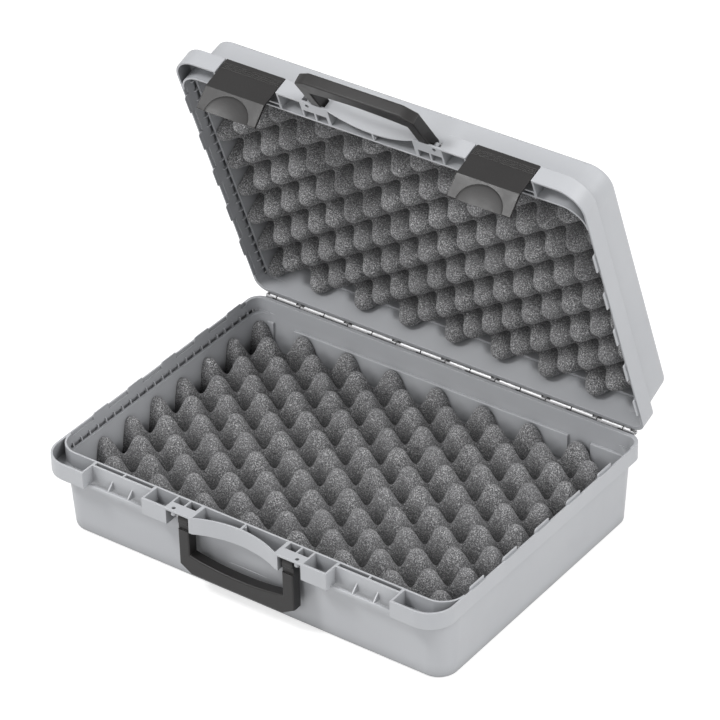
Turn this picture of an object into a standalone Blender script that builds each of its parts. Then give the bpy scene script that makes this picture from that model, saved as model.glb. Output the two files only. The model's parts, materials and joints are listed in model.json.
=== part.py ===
# Foam-lined hard case: two moulded shells on a piano hinge, two latches, two handles and two foam pads.
# Lengths are metres. X runs along the hinge, Y from the front to the back and Z up.
# The world's origin is the middle of the base's underside.
# Every piece is modelled closed, in the case frame: its origin is the middle of the front rim's
# face, at the parting plane. The pieces are then seated on their joints' axes.

from math import acos, asin, cos, degrees, pi, radians, sin, sqrt

import bmesh
import bpy
from mathutils import Matrix, Vector

# Case, outside
CASE_WIDTH = 0.440
CASE_DEPTH = 0.327
BASE_HEIGHT = 0.087
LID_HEIGHT = 0.053
BAND_HEIGHT = 0.018
FRONT_CORNER_RADIUS = 0.026
BACK_CORNER_RADIUS = 0.014
BODY_FRONT_RADIUS = 0.024
BODY_BACK_RADIUS = 0.022
EDGE_RADIUS = 0.004
SIDE_INSET = 0.0048
BASE_FRONT_INSET = 0.0178
LID_FRONT_INSET = 0.0200
BACK_INSET = 0.001
BASE_DRAFT = 0.004
LID_DRAFT = 0.0014

# Shell walls
WALL = 0.0024
FLOOR = 0.0025
FLANGE = 0.0018
RIM_WALL = 0.003
RIM_STRIP = 0.0015
BACK_RIM_WALL = 0.0045
INNER_WALL = 0.002
FRONT_BLOCK = 0.0225
RECESS_WALL_FACE = 0.0145
RECESS_WALL = 0.0022
LEDGE_DEPTH = 0.014
PARTING_GAP = 0.0003
FIT = 0.0003
OVERRUN = 0.002
BITE = 0.0005

# Ribs and tabs along the sides
RIB_FIRST = 0.0432
RIB_PITCH = 0.012
RIB_THICKNESS = 0.0012
RIB_RISE = 0.0045
RIB_FROM_BACK = 0.0198
TAB_FROM_BACK = 0.0279
TAB_PITCH = 0.0504
TAB_LENGTH = 0.022
TAB_HEIGHT = 0.003
TAB_ROUND = 0.0025
TAB_ROOT = 0.002
TAB_START = 0.0755
TAB_START_STAGGERED = 0.051
TAB_SIDE_CLEARANCE = 0.0003
TAB_SET_IN = 0.00015
TAB_TOP_CLEARANCE = 0.0004

# Front block. The latch bays lie between two shares of the way from the handle's bay to the side.
LATCH_BAY_NEAR = 0.18874
LATCH_BAY_FAR = 0.65271
HANDLE_BAY_ROOM = 0.0108
ARC_ROOM = 0.0043
PARTITION = 0.002
FRONT_WALL = 0.0022
ARC_SAGITTA = 0.0106
ARC_WALL = 0.0018
ARM_WEB = 0.002
PIVOT_PLATE = 0.0022
PIVOT_PLATE_DEPTH = 0.0115
PLATE_HOLE_RADIUS = 0.0019
PLATE_HOLE_INSET = 0.0041
FINGER_RECESS_INSIDE = 0.0012
FINGER_RECESS_SAGITTA = 0.0026
FINGER_RECESS_LOW = 0.050
BOSS_RADIUS = 0.0024
BOSS_DROP = 0.0012

# Latch bar and gussets in the base
BAR_FRONT = 0.0062
BAR_BACK = 0.0094
BAR_TOP = 0.0162
BAR_BOTTOM = 0.0196
GUSSET_COUNT = 2
GUSSET_THICKNESS = 0.0016
GUSSET_TOP = 0.0088
GUSSET_FRONT_TOP = 0.0135
GUSSET_BOTTOM = 0.0178

# Back panels, whose ends are measured from the case's sides
PANEL_RISE = 0.003
PANEL_DEEPEST = 0.050
BASE_PANEL_TOP = 0.0225
LID_PANEL_TOP = 0.0285
PANEL_MIDDLE_LEFT = 0.050
PANEL_MIDDLE_RIGHT = 0.078
PANEL_SMALL_LEFT = 0.025
PANEL_SMALL_RIGHT = 0.053
PANEL_END = 0.018

# Piano hinge
HINGE_SETBACK = 0.0036
KNUCKLE_RADIUS = 0.003
HINGE_PIN_RADIUS = 0.0013
HINGE_PIN_FIT = 0.00035
KNUCKLE_COUNT = 16
END_KNUCKLE = 0.451
KNUCKLE_GAP = 0.0005
HINGE_FROM_SIDE = 0.011
PIN_STICKOUT = 0.001
LEAF_THICKNESS = 0.001
LEAF_HEIGHT = 0.0145
LEAF_NOTCH = 0.0028
RIVET_COUNT = 5
RIVET_FROM_END = 0.029
RIVET_DROP = 0.0085
RIVET_RADIUS = 0.0015
RIVET_HEAD_RADIUS = 0.003
RIVET_HEAD = 0.0009
RIVET_LENGTH = 0.0030

# Latch
LATCH_GAP = 0.0013
LATCH_PIVOT_BACK = 0.0055
LATCH_PIVOT_UP = 0.012
LATCH_TOP = 0.0184
LATCH_FACE = 0.0005
LATCH_THICKNESS = 0.0026
LATCH_BEND = 0.016
LATCH_FLAP_BACK = 0.0106
LATCH_FLAP_LOW = 0.0358
LATCH_BARREL_RADIUS = 0.0040
LATCH_PIN_RADIUS = 0.0015
LATCH_HOOK_ROOT = 0.0016
LATCH_HOOK_BACK = 0.0088
LATCH_HOOK_LENGTH = 0.044
LATCH_HOOK_THICKNESS = 0.0024
LATCH_SCOOP_RADIUS = 0.022
LATCH_SCOOP_DEPTH = 0.0012
LATCH_GROOVE_COUNT = 4
LATCH_GROOVE_PITCH = 0.0019
LATCH_GROOVE_TOP = 0.0128
LATCH_GROOVE_DEPTH = 0.0004
LATCH_GROOVE_WIDTH = 0.0008

# Handle
HANDLE_PIVOT_BACK = 0.008
HANDLE_PIVOT_DROP = 0.009
HANDLE_HALF_WIDTH = 0.0635
HANDLE_ARM_WIDTH = 0.012
HANDLE_REACH = 0.057
HANDLE_INNER_REACH = 0.0362
HANDLE_ARCH = 0.005
HANDLE_DEPTH = 0.0114
HANDLE_CHAMFER_ACROSS = 0.013
HANDLE_CHAMFER_UP = 0.008
HANDLE_EDGE = 0.0014
HANDLE_RELIEF = 0.0017
HANDLE_RELIEF_START = 0.0038
HANDLE_RELIEF_END = 0.0107
HANDLE_PIN_RADIUS = 0.002

# Foam
FOAM_HALF_PITCH_X = 0.026
FOAM_HALF_PITCH_Y = 0.0196
FOAM_BACK_ROW_FROM_BACK = 0.013
BASE_FOAM_TIP = 0.022
BASE_FOAM_AMPLITUDE = 0.036
LID_FOAM_TIP = 0.012
LID_FOAM_AMPLITUDE = 0.026
FOAM_SIDE_GAP = 0.0005
FOAM_REST_GAP = 0.0003
FOAM_CELLS_PER_PITCH = 2
FOAM_CORNER_STEPS = 2

# Pose in the photograph, in degrees
LID_OPEN_ANGLE = 70.0
LID_HANDLE_ANGLE = 106.0

BASE = -1
LID = 1
HALF_WIDTH = CASE_WIDTH / 2
HINGE_Y = CASE_DEPTH + HINGE_SETBACK
RIM_FACE = HALF_WIDTH - RIM_WALL
BODY_SIDE = HALF_WIDTH - SIDE_INSET
CAVITY_SIDE = BODY_SIDE - WALL
CAVITY_BACK = CASE_DEPTH - BACK_RIM_WALL
POCKET_BACK = FRONT_BLOCK - INNER_WALL
POCKET_FLOOR = BAND_HEIGHT - FLANGE
HANDLE_BAY = HANDLE_HALF_WIDTH + HANDLE_BAY_ROOM
LATCH_BAY_INNER = HANDLE_BAY + (HALF_WIDTH - HANDLE_BAY) * LATCH_BAY_NEAR
LATCH_BAY_OUTER = HANDLE_BAY + (HALF_WIDTH - HANDLE_BAY) * LATCH_BAY_FAR
ARC_END = HANDLE_HALF_WIDTH - HANDLE_ARM_WIDTH - ARC_ROOM
HINGE_END = HALF_WIDTH - HINGE_FROM_SIDE
KNUCKLE_PITCH = 2 * HINGE_END / (KNUCKLE_COUNT - 2 + 2 * END_KNUCKLE)
RIVET_SPACING = 2 * (HINGE_END - RIVET_FROM_END) / (RIVET_COUNT - 1)
FOAM_BACK_ROW = CASE_DEPTH - FOAM_BACK_ROW_FROM_BACK
ROUNDING = 0.01
RIB_COUNT = int((CASE_DEPTH - RIB_FROM_BACK - RIB_FIRST) / RIB_PITCH + ROUNDING) + 1
TAB_RUN = CASE_DEPTH - TAB_FROM_BACK - TAB_LENGTH - TAB_START
TAB_COUNT = int(TAB_RUN / TAB_PITCH + ROUNDING) + 1
CORNER_STEPS = 6
EDGE_STEPS = 3
ROUND_SIDES = 16


def clear_scene():
    for old in list(bpy.data.objects):
        bpy.data.objects.remove(old, do_unlink=True)


def collection(name):
    made = bpy.data.collections.new(name)
    bpy.context.scene.collection.children.link(made)
    return made


def material(name, colour, roughness, metallic=0.0):
    made = bpy.data.materials.new(name)
    made.use_nodes = True
    shader = made.node_tree.nodes["Principled BSDF"]
    shader.inputs["Base Color"].default_value = (*colour, 1.0)
    shader.inputs["Roughness"].default_value = roughness
    shader.inputs["Metallic"].default_value = metallic
    return made


def silver_plastic(name):
    return material(name, (0.42, 0.43, 0.45), 0.42)


def black_plastic(name):
    return material(name, (0.025, 0.024, 0.024), 0.38)


def bright_steel(name):
    return material(name, (0.72, 0.72, 0.74), 0.25, 1.0)


def grey_foam(name):
    return material(name, (0.085, 0.085, 0.09), 0.95)


# Flat outlines


def arc(centre, radius, start, end, steps=CORNER_STEPS):
    """Points along an arc, from the start angle to the end angle in degrees."""
    turn = radians(end - start) / steps
    angles = [radians(start) + turn * i for i in range(steps + 1)]
    return [(centre[0] + radius * cos(a), centre[1] + radius * sin(a)) for a in angles]


def box_outline(left, front, right, back):
    return [(left, front), (right, front), (right, back), (left, back)]


def rounded_outline(side, front, back, front_radius, back_radius, steps=CORNER_STEPS):
    """A plan that is the same on the left and right, with one radius in front and one behind."""
    points = arc((side - front_radius, front + front_radius), front_radius, -90, 0, steps)
    points += arc((side - back_radius, back - back_radius), back_radius, 0, 90, steps)
    return points + [(-x, y) for x, y in reversed(points)]


def sagging_arc(end, edge, sagitta, steps=12):
    """Points from -end to +end on an arc whose ends are at y=edge and whose middle is deeper."""
    radius = (end * end + sagitta * sagitta) / (2 * sagitta)
    half = degrees(asin(end / radius))
    return arc((0.0, edge + sagitta - radius), radius, 90 + half, 90 - half, steps)


# Solids


def mesh_object(name, mesh, group):
    made = bpy.data.objects.new(name, mesh)
    group.objects.link(made)
    return made


def slab(name, outline, low, high, group, along="z"):
    """A closed solid: the outline, extruded from low to high along an axis of the case frame."""
    curve = bpy.data.curves.new(name, "CURVE")
    curve.dimensions = "2D"
    curve.fill_mode = "BOTH"
    curve.extrude = (high - low) / 2
    spline = curve.splines.new("POLY")
    spline.points.add(len(outline) - 1)
    for point, (u, v) in zip(spline.points, outline):
        point.co = (u, v, 0.0, 1.0)
    spline.use_cyclic_u = True
    drawn = bpy.data.objects.new(name + "_curve", curve)
    group.objects.link(drawn)
    bpy.context.view_layer.update()
    graph = bpy.context.evaluated_depsgraph_get()
    mesh = bpy.data.meshes.new_from_object(drawn.evaluated_get(graph))
    bpy.data.objects.remove(drawn, do_unlink=True)
    # An outline along x is drawn as (y, z), and one along y as (z, x).
    turns = {"z": Matrix.Identity(3), "x": Matrix(((0, 0, 1), (1, 0, 0), (0, 1, 0)))}
    turns["y"] = Matrix(((0, 1, 0), (0, 0, 1), (1, 0, 0)))
    middle = Vector((0.0, 0.0, (low + high) / 2))
    mesh.transform(Matrix.Translation(turns[along] @ middle) @ turns[along].to_4x4())
    welded = bmesh.new()
    welded.from_mesh(mesh)
    bmesh.ops.remove_doubles(welded, verts=welded.verts, dist=BITE / 100)
    bmesh.ops.recalc_face_normals(welded, faces=welded.faces)
    welded.to_mesh(mesh)
    welded.free()
    return mesh_object(name, mesh, group)


def loft(name, rings, group):
    """A closed solid through rings of points, each an outline with its height."""
    skin = bmesh.new()
    layers = [[skin.verts.new((x, y, z)) for x, y in outline] for outline, z in rings]
    for near, far in zip(layers, layers[1:]):
        for i in range(len(near)):
            j = (i + 1) % len(near)
            skin.faces.new((near[i], near[j], far[j], far[i]))
    skin.faces.new(layers[0])
    skin.faces.new(layers[-1])
    bmesh.ops.recalc_face_normals(skin, faces=skin.faces)
    mesh = bpy.data.meshes.new(name)
    skin.to_mesh(mesh)
    skin.free()
    return mesh_object(name, mesh, group)


def block(name, low, high, group):
    """An axis-aligned box between two corners."""
    size = [abs(b - a) for a, b in zip(low, high)]
    middle = [(a + b) / 2 for a, b in zip(low, high)]
    cube = bmesh.new()
    bmesh.ops.create_cube(cube, size=1.0)
    bmesh.ops.scale(cube, vec=size, verts=cube.verts)
    bmesh.ops.translate(cube, vec=middle, verts=cube.verts)
    mesh = bpy.data.meshes.new(name)
    cube.to_mesh(mesh)
    cube.free()
    return mesh_object(name, mesh, group)


def rod(name, start, end, radius, group, sides=ROUND_SIDES):
    """A round bar from one point to another."""
    start = Vector(start)
    run = Vector(end) - start
    turn = run.to_track_quat("Z", "Y").to_matrix().to_4x4()
    bar = bmesh.new()
    bmesh.ops.create_cone(
        bar, cap_ends=True, segments=sides, radius1=radius, radius2=radius, depth=run.length
    )
    bmesh.ops.transform(bar, matrix=Matrix.Translation(start + run / 2) @ turn, verts=bar.verts)
    mesh = bpy.data.meshes.new(name)
    bar.to_mesh(mesh)
    bar.free()
    return mesh_object(name, mesh, group)


def boolean(target, kind, tools):
    """Cuts or joins every object of a collection."""
    step = target.modifiers.new(kind.lower(), "BOOLEAN")
    step.operation = kind
    step.operand_type = "COLLECTION"
    step.collection = tools
    step.solver = "EXACT"
    step.show_viewport = False


def round_edges(target, width, segments=2):
    step = target.modifiers.new("round_edges", "BEVEL")
    step.width = width
    step.segments = segments
    step.limit_method = "ANGLE"
    step.angle_limit = radians(35)


def switch_on_booleans():
    """Cuts and joins wait until every piece is drawn, so that each is worked out once."""
    for target in bpy.data.objects:
        for step in target.modifiers:
            step.show_viewport = True


def hide_tools(tools):
    for tool in tools.objects:
        tool.hide_render = True
        tool.display_type = "WIRE"


def smooth(target):
    target.data.shade_smooth()
    target.data.set_sharp_from_angle(angle=radians(35))


class Builder:
    """Holds the collections and seats each finished piece."""

    def __init__(self):
        self.parts = collection("foam_lined_hard_case")
        self.frames = {}

    def frame(self, name, place, parent=None, turn=0.0):
        empty = bpy.data.objects.new(name, None)
        self.parts.objects.link(empty)
        empty.location = place
        empty.rotation_euler.x = turn
        empty.parent = parent
        return empty

    def tools(self, name):
        return collection(name)

    def seat(self, piece, frame, frame_origin, pivot=None, turn=0.0):
        """Moves a piece from the case frame onto its pivot, under its frame's empty."""
        pivot = Vector(frame_origin if pivot is None else pivot)
        piece.data.transform(Matrix.Translation(-pivot))
        piece.parent = frame
        piece.location = pivot - Vector(frame_origin)
        piece.rotation_euler.x = turn


# Shell


def depth_range(up, near, far):
    """Two heights in order, from depths behind the parting plane."""
    return sorted((up * near, up * far))


def cut_plan(name, outline, up, near, far, group):
    low, high = depth_range(up, near, far)
    return slab(name, outline, low, high, group)


def body_outline(side, front, back, front_radius, back_radius, inset, steps=CORNER_STEPS):
    """The plan of a tapered wall, where it has drawn in by the inset."""
    radii = [radius - inset for radius in (front_radius, back_radius)]
    return rounded_outline(side - inset, front + inset, back - inset, *radii, steps)


def shell_blank(name, up, height, front_inset, draft, group):
    """The tapered body under the band, with its far edge rounded."""
    plan = (BODY_SIDE, front_inset, CASE_DEPTH - BACK_INSET, BODY_FRONT_RADIUS, BODY_BACK_RADIUS)
    rings = [(body_outline(*plan, 0.0), up * (BAND_HEIGHT - FLANGE / 2))]
    for i in range(EDGE_STEPS + 1):
        turn = radians(90) * i / EDGE_STEPS
        inset = draft + EDGE_RADIUS * (1 - cos(turn))
        depth = height - EDGE_RADIUS * (1 - sin(turn))
        rings.append((body_outline(*plan, inset), up * depth))
    return loft(name, rings, group)


def rim_band(name, up, group):
    outline = rounded_outline(
        HALF_WIDTH, 0.0, CASE_DEPTH, FRONT_CORNER_RADIUS, BACK_CORNER_RADIUS
    )
    return cut_plan(name, outline, up, PARTING_GAP / 2, BAND_HEIGHT, group)


def corner_pocket_outline():
    """Between the band's outer wall and the inner wall, in a front corner."""
    outer_radius = FRONT_CORNER_RADIUS - FRONT_WALL
    outer_centre = (HALF_WIDTH - FRONT_CORNER_RADIUS, FRONT_CORNER_RADIUS)
    inner_radius = inner_corner_radius() + INNER_WALL
    inner_centre = (RIM_FACE - inner_corner_radius(), FRONT_BLOCK + inner_corner_radius())
    side = HALF_WIDTH - FRONT_WALL
    reach = side - inner_centre[0]
    meet = -degrees(acos(reach / inner_radius))
    points = [(LATCH_BAY_OUTER + PARTITION, FRONT_WALL)]
    points += arc(outer_centre, outer_radius, -90, 0)
    points += arc(inner_centre, inner_radius, meet, -90)
    return points + [(LATCH_BAY_OUTER + PARTITION, POCKET_BACK)]


def inner_corner_radius():
    return FRONT_BLOCK - RIM_STRIP / 2


def mirrored(outline, side):
    return [(side * x, y) for x, y in outline]


def lower_cavity_rings(up, height, draft, gap, shallow, deep, steps=CORNER_STEPS):
    """The tapered compartment for the foam, less a gap all round, between two depths."""
    taper = draft / (height - POCKET_FLOOR)
    plan = (CAVITY_SIDE, FRONT_BLOCK, CAVITY_BACK, inner_corner_radius(), BODY_BACK_RADIUS - WALL)
    depths = (shallow, POCKET_FLOOR, deep) if shallow < POCKET_FLOOR else (shallow, deep)
    insets = [gap + taper * max(depth - POCKET_FLOOR, 0.0) for depth in depths]
    outlines = [body_outline(*plan, inset, steps) for inset in insets]
    return [(outline, up * depth) for outline, depth in zip(outlines, depths)]


def cut_main_cavity(up, height, draft, group):
    """The foam's compartment, wider above the ledge along each side."""
    upper = rounded_outline(
        RIM_FACE, FRONT_BLOCK, CAVITY_BACK, inner_corner_radius(), BACK_CORNER_RADIUS - RIM_WALL
    )
    cut_plan("upper_cavity", upper, up, -TAB_HEIGHT - OVERRUN, LEDGE_DEPTH, group)
    shallow = LEDGE_DEPTH - OVERRUN
    loft("lower_cavity", lower_cavity_rings(up, height, draft, 0.0, shallow, height - FLOOR), group)
    first = RIB_FIRST - RIB_THICKNESS * 2
    last = RIB_FIRST + RIB_PITCH * RIB_COUNT
    for side in (-1, 1):
        groove = mirrored(box_outline(BODY_SIDE, first, RIM_FACE, last), side)
        cut_plan("side_groove", groove, up, LEDGE_DEPTH - OVERRUN, POCKET_FLOOR, group)


def cut_corner_and_box_pockets(up, group):
    box = box_outline(
        HANDLE_BAY + PARTITION, FRONT_WALL, LATCH_BAY_INNER - PARTITION, POCKET_BACK
    )
    for side in (-1, 1):
        corner = mirrored(corner_pocket_outline(), side)
        cut_plan("corner_pocket", corner, up, -OVERRUN, POCKET_FLOOR, group)
        cut_plan("box_pocket", mirrored(box, side), up, -OVERRUN, POCKET_FLOOR, group)


def slot_back():
    return RECESS_WALL_FACE + RECESS_WALL


def cut_latch_bays(up, group):
    """The open bay for each latch, and the two slots behind its back wall."""
    middle = (LATCH_BAY_INNER + LATCH_BAY_OUTER) / 2
    bay = box_outline(LATCH_BAY_INNER, -OVERRUN, LATCH_BAY_OUTER, RECESS_WALL_FACE)
    slots = [
        (LATCH_BAY_INNER + PARTITION / 2, middle - PARTITION / 2),
        (middle + PARTITION / 2, LATCH_BAY_OUTER - PARTITION / 2),
    ]
    for side in (-1, 1):
        cut_plan("latch_bay", mirrored(bay, side), up, -OVERRUN, BAND_HEIGHT + BITE, group)
        for near, far in slots:
            slot = mirrored(box_outline(near, slot_back(), far, POCKET_BACK), side)
            cut_plan("latch_slot", slot, up, -OVERRUN, POCKET_FLOOR, group)


def cut_handle_bay(up, group):
    front_arc = sagging_arc(ARC_END, 0.0, ARC_SAGITTA)
    scoop = [(ARC_END, -OVERRUN), (-ARC_END, -OVERRUN)] + front_arc
    cut_plan("finger_arc", scoop, up, -OVERRUN, BAND_HEIGHT + BITE, group)
    back_arc = sagging_arc(ARC_END - ARC_WALL, ARC_WALL, ARC_SAGITTA)
    half_rib = PARTITION / 2
    right_half = [point for point in back_arc if point[0] > half_rib]
    start = (half_rib, ARC_WALL + ARC_SAGITTA)
    pocket = [start] + right_half + [(ARC_END - ARC_WALL, POCKET_BACK), (half_rib, POCKET_BACK)]
    arm_side = ARC_END + ARM_WEB
    arm_bay = box_outline(arm_side, -OVERRUN, HANDLE_BAY, RECESS_WALL_FACE)
    middle = (arm_side + HANDLE_BAY) / 2
    holes = [(arm_side, middle - PARTITION / 2), (middle + PARTITION / 2, HANDLE_BAY)]
    spot = (HANDLE_BAY - PLATE_HOLE_INSET - PARTITION, PLATE_HOLE_INSET)
    low, high = depth_range(up, -OVERRUN, PIVOT_PLATE + OVERRUN)
    for side in (-1, 1):
        cut_plan("arc_pocket", mirrored(pocket, side), up, -OVERRUN, POCKET_FLOOR, group)
        cut_plan("arm_bay", mirrored(arm_bay, side), up, PIVOT_PLATE, BAND_HEIGHT + BITE, group)
        for near, far in holes:
            hole = mirrored(box_outline(near, PIVOT_PLATE_DEPTH, far, POCKET_BACK), side)
            cut_plan("plate_window", hole, up, -OVERRUN, POCKET_FLOOR, group)
        x = side * spot[0]
        rod("plate_hole", (x, spot[1], low), (x, spot[1], high), PLATE_HOLE_RADIUS, group, 10)
        pin = handle_pin_span(side)
        height = up * HANDLE_PIVOT_DROP
        ends = [(x, HANDLE_PIVOT_BACK, height) for x in (pin[0] - side * BITE, pin[1] + side * BITE)]
        rod("handle_pin_hole", *ends, HANDLE_PIN_RADIUS + FIT, group, 12)


def cut_finger_recess(up, front_inset, group):
    """A shallow hollow in the body's front wall, for the fingers behind the grip."""
    end = ARC_END - FINGER_RECESS_INSIDE
    outline = [(end, front_inset - OVERRUN), (-end, front_inset - OVERRUN)]
    outline += sagging_arc(end, front_inset, FINGER_RECESS_SAGITTA)
    cut_plan("finger_recess", outline, up, BAND_HEIGHT + BITE, FINGER_RECESS_LOW, group)


def tab_starts(staggered):
    first = TAB_START_STAGGERED if staggered else TAB_START
    return [first + TAB_PITCH * i for i in range(TAB_COUNT)]


def cut_rim_gaps(up, staggered_side, group):
    """Lowers the rim's inner strip between the tabs, where the other half's tabs go."""
    depth = TAB_HEIGHT + TAB_TOP_CLEARANCE
    first = RIB_FIRST
    last = RIB_FIRST + RIB_PITCH * (RIB_COUNT - 1)
    for side in (-1, 1):
        starts = tab_starts(side == staggered_side)
        lows = [first] + [start + TAB_LENGTH for start in starts]
        highs = starts + [last]
        for low, high in zip(lows, highs):
            outline = box_outline(RIM_FACE - BITE, low, RIM_FACE + RIM_STRIP, high)
            cut_plan("rim_gap", mirrored(outline, side), up, -OVERRUN, depth, group)


def add_tabs(up, staggered_side, group):
    inner = RIM_FACE + TAB_SET_IN
    outer = RIM_FACE + RIM_STRIP - TAB_SIDE_CLEARANCE
    reach = TAB_LENGTH - TAB_SET_IN * 2
    for side in (-1, 1):
        low, high = sorted((side * inner, side * outer))
        for start in tab_starts(side == staggered_side):
            start += TAB_SET_IN
            top = arc((start + TAB_ROUND, TAB_HEIGHT - TAB_ROUND), TAB_ROUND, 180, 90, 3)
            outline = [(start, -TAB_ROOT)] + top
            outline += [(start + reach, TAB_HEIGHT), (start + reach, -TAB_ROOT)]
            outline = [(y, -up * z) for y, z in outline]
            slab("tab", outline, low, high, group, along="x")


def add_side_ribs(up, group):
    """Small gussets across the groove behind the ledge."""
    for side in (-1, 1):
        wall = side * (RIM_FACE + BITE)
        ledge = side * (BODY_SIDE - BITE)
        outline = [
            (up * (LEDGE_DEPTH - RIB_RISE), wall),
            (up * (POCKET_FLOOR + BITE), wall),
            (up * (POCKET_FLOOR + BITE), ledge),
            (up * LEDGE_DEPTH, ledge),
        ]
        for i in range(RIB_COUNT):
            y = RIB_FIRST + RIB_PITCH * i
            slab("side_rib", outline, y - RIB_THICKNESS / 2, y + RIB_THICKNESS / 2, group, along="y")


def add_latch_bar(up, group):
    """The bar that the latch hooks under, and its gussets."""
    for side in (-1, 1):
        left, right = sorted((side * (LATCH_BAY_INNER - BITE), side * (LATCH_BAY_OUTER + BITE)))
        low, high = depth_range(up, BAR_TOP, BAR_BOTTOM)
        block("latch_bar", (left, BAR_FRONT, low), (right, BAR_BACK, high), group)
        width = LATCH_BAY_OUTER - LATCH_BAY_INNER
        outline = [
            (RECESS_WALL_FACE + BITE, up * GUSSET_TOP),
            (BAR_FRONT + BITE, up * GUSSET_FRONT_TOP),
            (BAR_FRONT + BITE, up * GUSSET_BOTTOM),
            (RECESS_WALL_FACE + BITE, up * GUSSET_BOTTOM),
        ]
        for i in range(GUSSET_COUNT):
            x = side * (LATCH_BAY_INNER + width * (i + 1) / (GUSSET_COUNT + 1))
            slab("gusset", outline, x - GUSSET_THICKNESS / 2, x + GUSSET_THICKNESS / 2, group, along="x")


def add_back_panels(up, top, height, draft, group):
    """Raised panels on the back wall, with a channel between each two."""
    deep = min(height - FLOOR + BITE, PANEL_DEEPEST)
    taper = draft / (height - POCKET_FLOOR)
    front = CAVITY_BACK - PANEL_RISE
    spans = [
        (PANEL_END - HALF_WIDTH, PANEL_SMALL_LEFT - HALF_WIDTH),
        (PANEL_MIDDLE_LEFT - HALF_WIDTH, HALF_WIDTH - PANEL_MIDDLE_RIGHT),
        (HALF_WIDTH - PANEL_SMALL_RIGHT, HALF_WIDTH - PANEL_END),
    ]
    for left, right in spans:
        backs = [CAVITY_BACK + BITE - taper * (depth - POCKET_FLOOR) for depth in (top, deep)]
        outlines = [box_outline(left, front, right, back) for back in backs]
        loft("back_panel", [(outlines[0], up * top), (outlines[1], up * deep)], group)


def add_rib_boss(up, group):
    low, high = depth_range(up, BOSS_DROP, POCKET_FLOOR + BITE)
    y = POCKET_BACK - BOSS_RADIUS
    rod("rib_boss", (0.0, y, low), (0.0, y, high), BOSS_RADIUS, group, 10)


def cut_rivet_holes(up, group):
    for x in rivet_places():
        z = up * RIVET_DROP
        start = (x, CASE_DEPTH + OVERRUN, z)
        end = (x, CASE_DEPTH - RIVET_LENGTH - FIT, z)
        rod("rivet_hole", start, end, RIVET_RADIUS + FIT, group, 8)


def cut_latch_pin_holes(up, group):
    for side in (-1, 1):
        ends = [x + grow for x, grow in zip(latch_pin_span(side), (-side * BITE, side * BITE))]
        start, end = [(x, LATCH_PIVOT_BACK, up * LATCH_PIVOT_UP) for x in ends]
        rod("latch_pin_hole", start, end, LATCH_PIN_RADIUS + FIT, group, 10)


def build_shell(builder, name, up, height, front_inset, draft, staggered_side, panel_top):
    blank = shell_blank(name, up, height, front_inset, draft, builder.parts)
    band = builder.tools(name + "_band")
    rim_band(name + "_rim_band", up, band)
    cuts = builder.tools(name + "_cutters")
    cut_main_cavity(up, height, draft, cuts)
    cut_corner_and_box_pockets(up, cuts)
    cut_latch_bays(up, cuts)
    cut_handle_bay(up, cuts)
    cut_rim_gaps(up, staggered_side, cuts)
    cut_rivet_holes(up, cuts)
    adds = builder.tools(name + "_additions")
    add_tabs(up, staggered_side, adds)
    add_side_ribs(up, adds)
    add_back_panels(up, panel_top, height, draft, adds)
    add_rib_boss(up, adds)
    if up == BASE:
        cut_finger_recess(up, front_inset, cuts)
        add_latch_bar(up, adds)
    else:
        cut_latch_pin_holes(up, cuts)
    boolean(blank, "UNION", band)
    boolean(blank, "DIFFERENCE", cuts)
    boolean(blank, "UNION", adds)
    for tools in (band, cuts, adds):
        hide_tools(tools)
    blank.data.materials.append(silver_plastic(name))
    return [blank] + [tool for tools in (band, cuts, adds) for tool in tools.objects]


# Foam


def foam_height(x, y, tip, amplitude):
    """Depth of the egg-crate surface, with peaks in a quincunx."""
    wave = cos(pi * x / FOAM_HALF_PITCH_X) * cos(pi * (y - FOAM_BACK_ROW) / FOAM_HALF_PITCH_Y)
    return tip + amplitude * (1 - wave) / 2


def build_foam(builder, name, up, height, draft, tip, amplitude):
    across = FOAM_HALF_PITCH_X / FOAM_CELLS_PER_PITCH
    along = FOAM_HALF_PITCH_Y / FOAM_CELLS_PER_PITCH
    side = CAVITY_SIDE
    front = FRONT_BLOCK + FOAM_SIDE_GAP
    back = CAVITY_BACK - PANEL_RISE - FOAM_SIDE_GAP
    columns = 2 * (int(side / across) + 1)
    behind = int((back - FOAM_BACK_ROW) / along) + 1
    rows = behind + int((FOAM_BACK_ROW - front) / along) + 1
    floor = height - FLOOR - FOAM_REST_GAP
    pad = bmesh.new()
    bmesh.ops.create_grid(pad, x_segments=columns, y_segments=rows, size=0.5)
    bmesh.ops.scale(pad, vec=(columns * across, rows * along, 1.0), verts=pad.verts)
    middle = FOAM_BACK_ROW + (behind - rows / 2) * along
    bmesh.ops.translate(pad, vec=(0.0, middle, up * (floor + OVERRUN)), verts=pad.verts)
    top = bmesh.ops.extrude_face_region(pad, geom=pad.faces[:])["geom"]
    for vertex in [item for item in top if isinstance(item, bmesh.types.BMVert)]:
        vertex.co.z = up * foam_height(vertex.co.x, vertex.co.y, tip, amplitude)
    bmesh.ops.recalc_face_normals(pad, faces=pad.faces)
    low = up * (floor + OVERRUN)
    under = [f for f in pad.faces if all(abs(v.co.z - low) < BITE for v in f.verts)]
    bmesh.ops.dissolve_faces(pad, faces=under)
    mesh = bpy.data.meshes.new(name)
    pad.to_mesh(mesh)
    pad.free()
    foam = mesh_object(name, mesh, builder.parts)
    trim = builder.tools(name + "_trim")
    rings = lower_cavity_rings(
        up, height, draft, FOAM_SIDE_GAP, tip - OVERRUN, floor, FOAM_CORNER_STEPS
    )
    rings = [([(x, min(y, back)) for x, y in outline], z) for outline, z in (rings[0], rings[-1])]
    loft(name + "_outline", rings, trim)
    boolean(foam, "INTERSECT", trim)
    hide_tools(trim)
    foam.data.materials.append(grey_foam(name))
    return [foam] + list(trim.objects)


# Hinge


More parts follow.
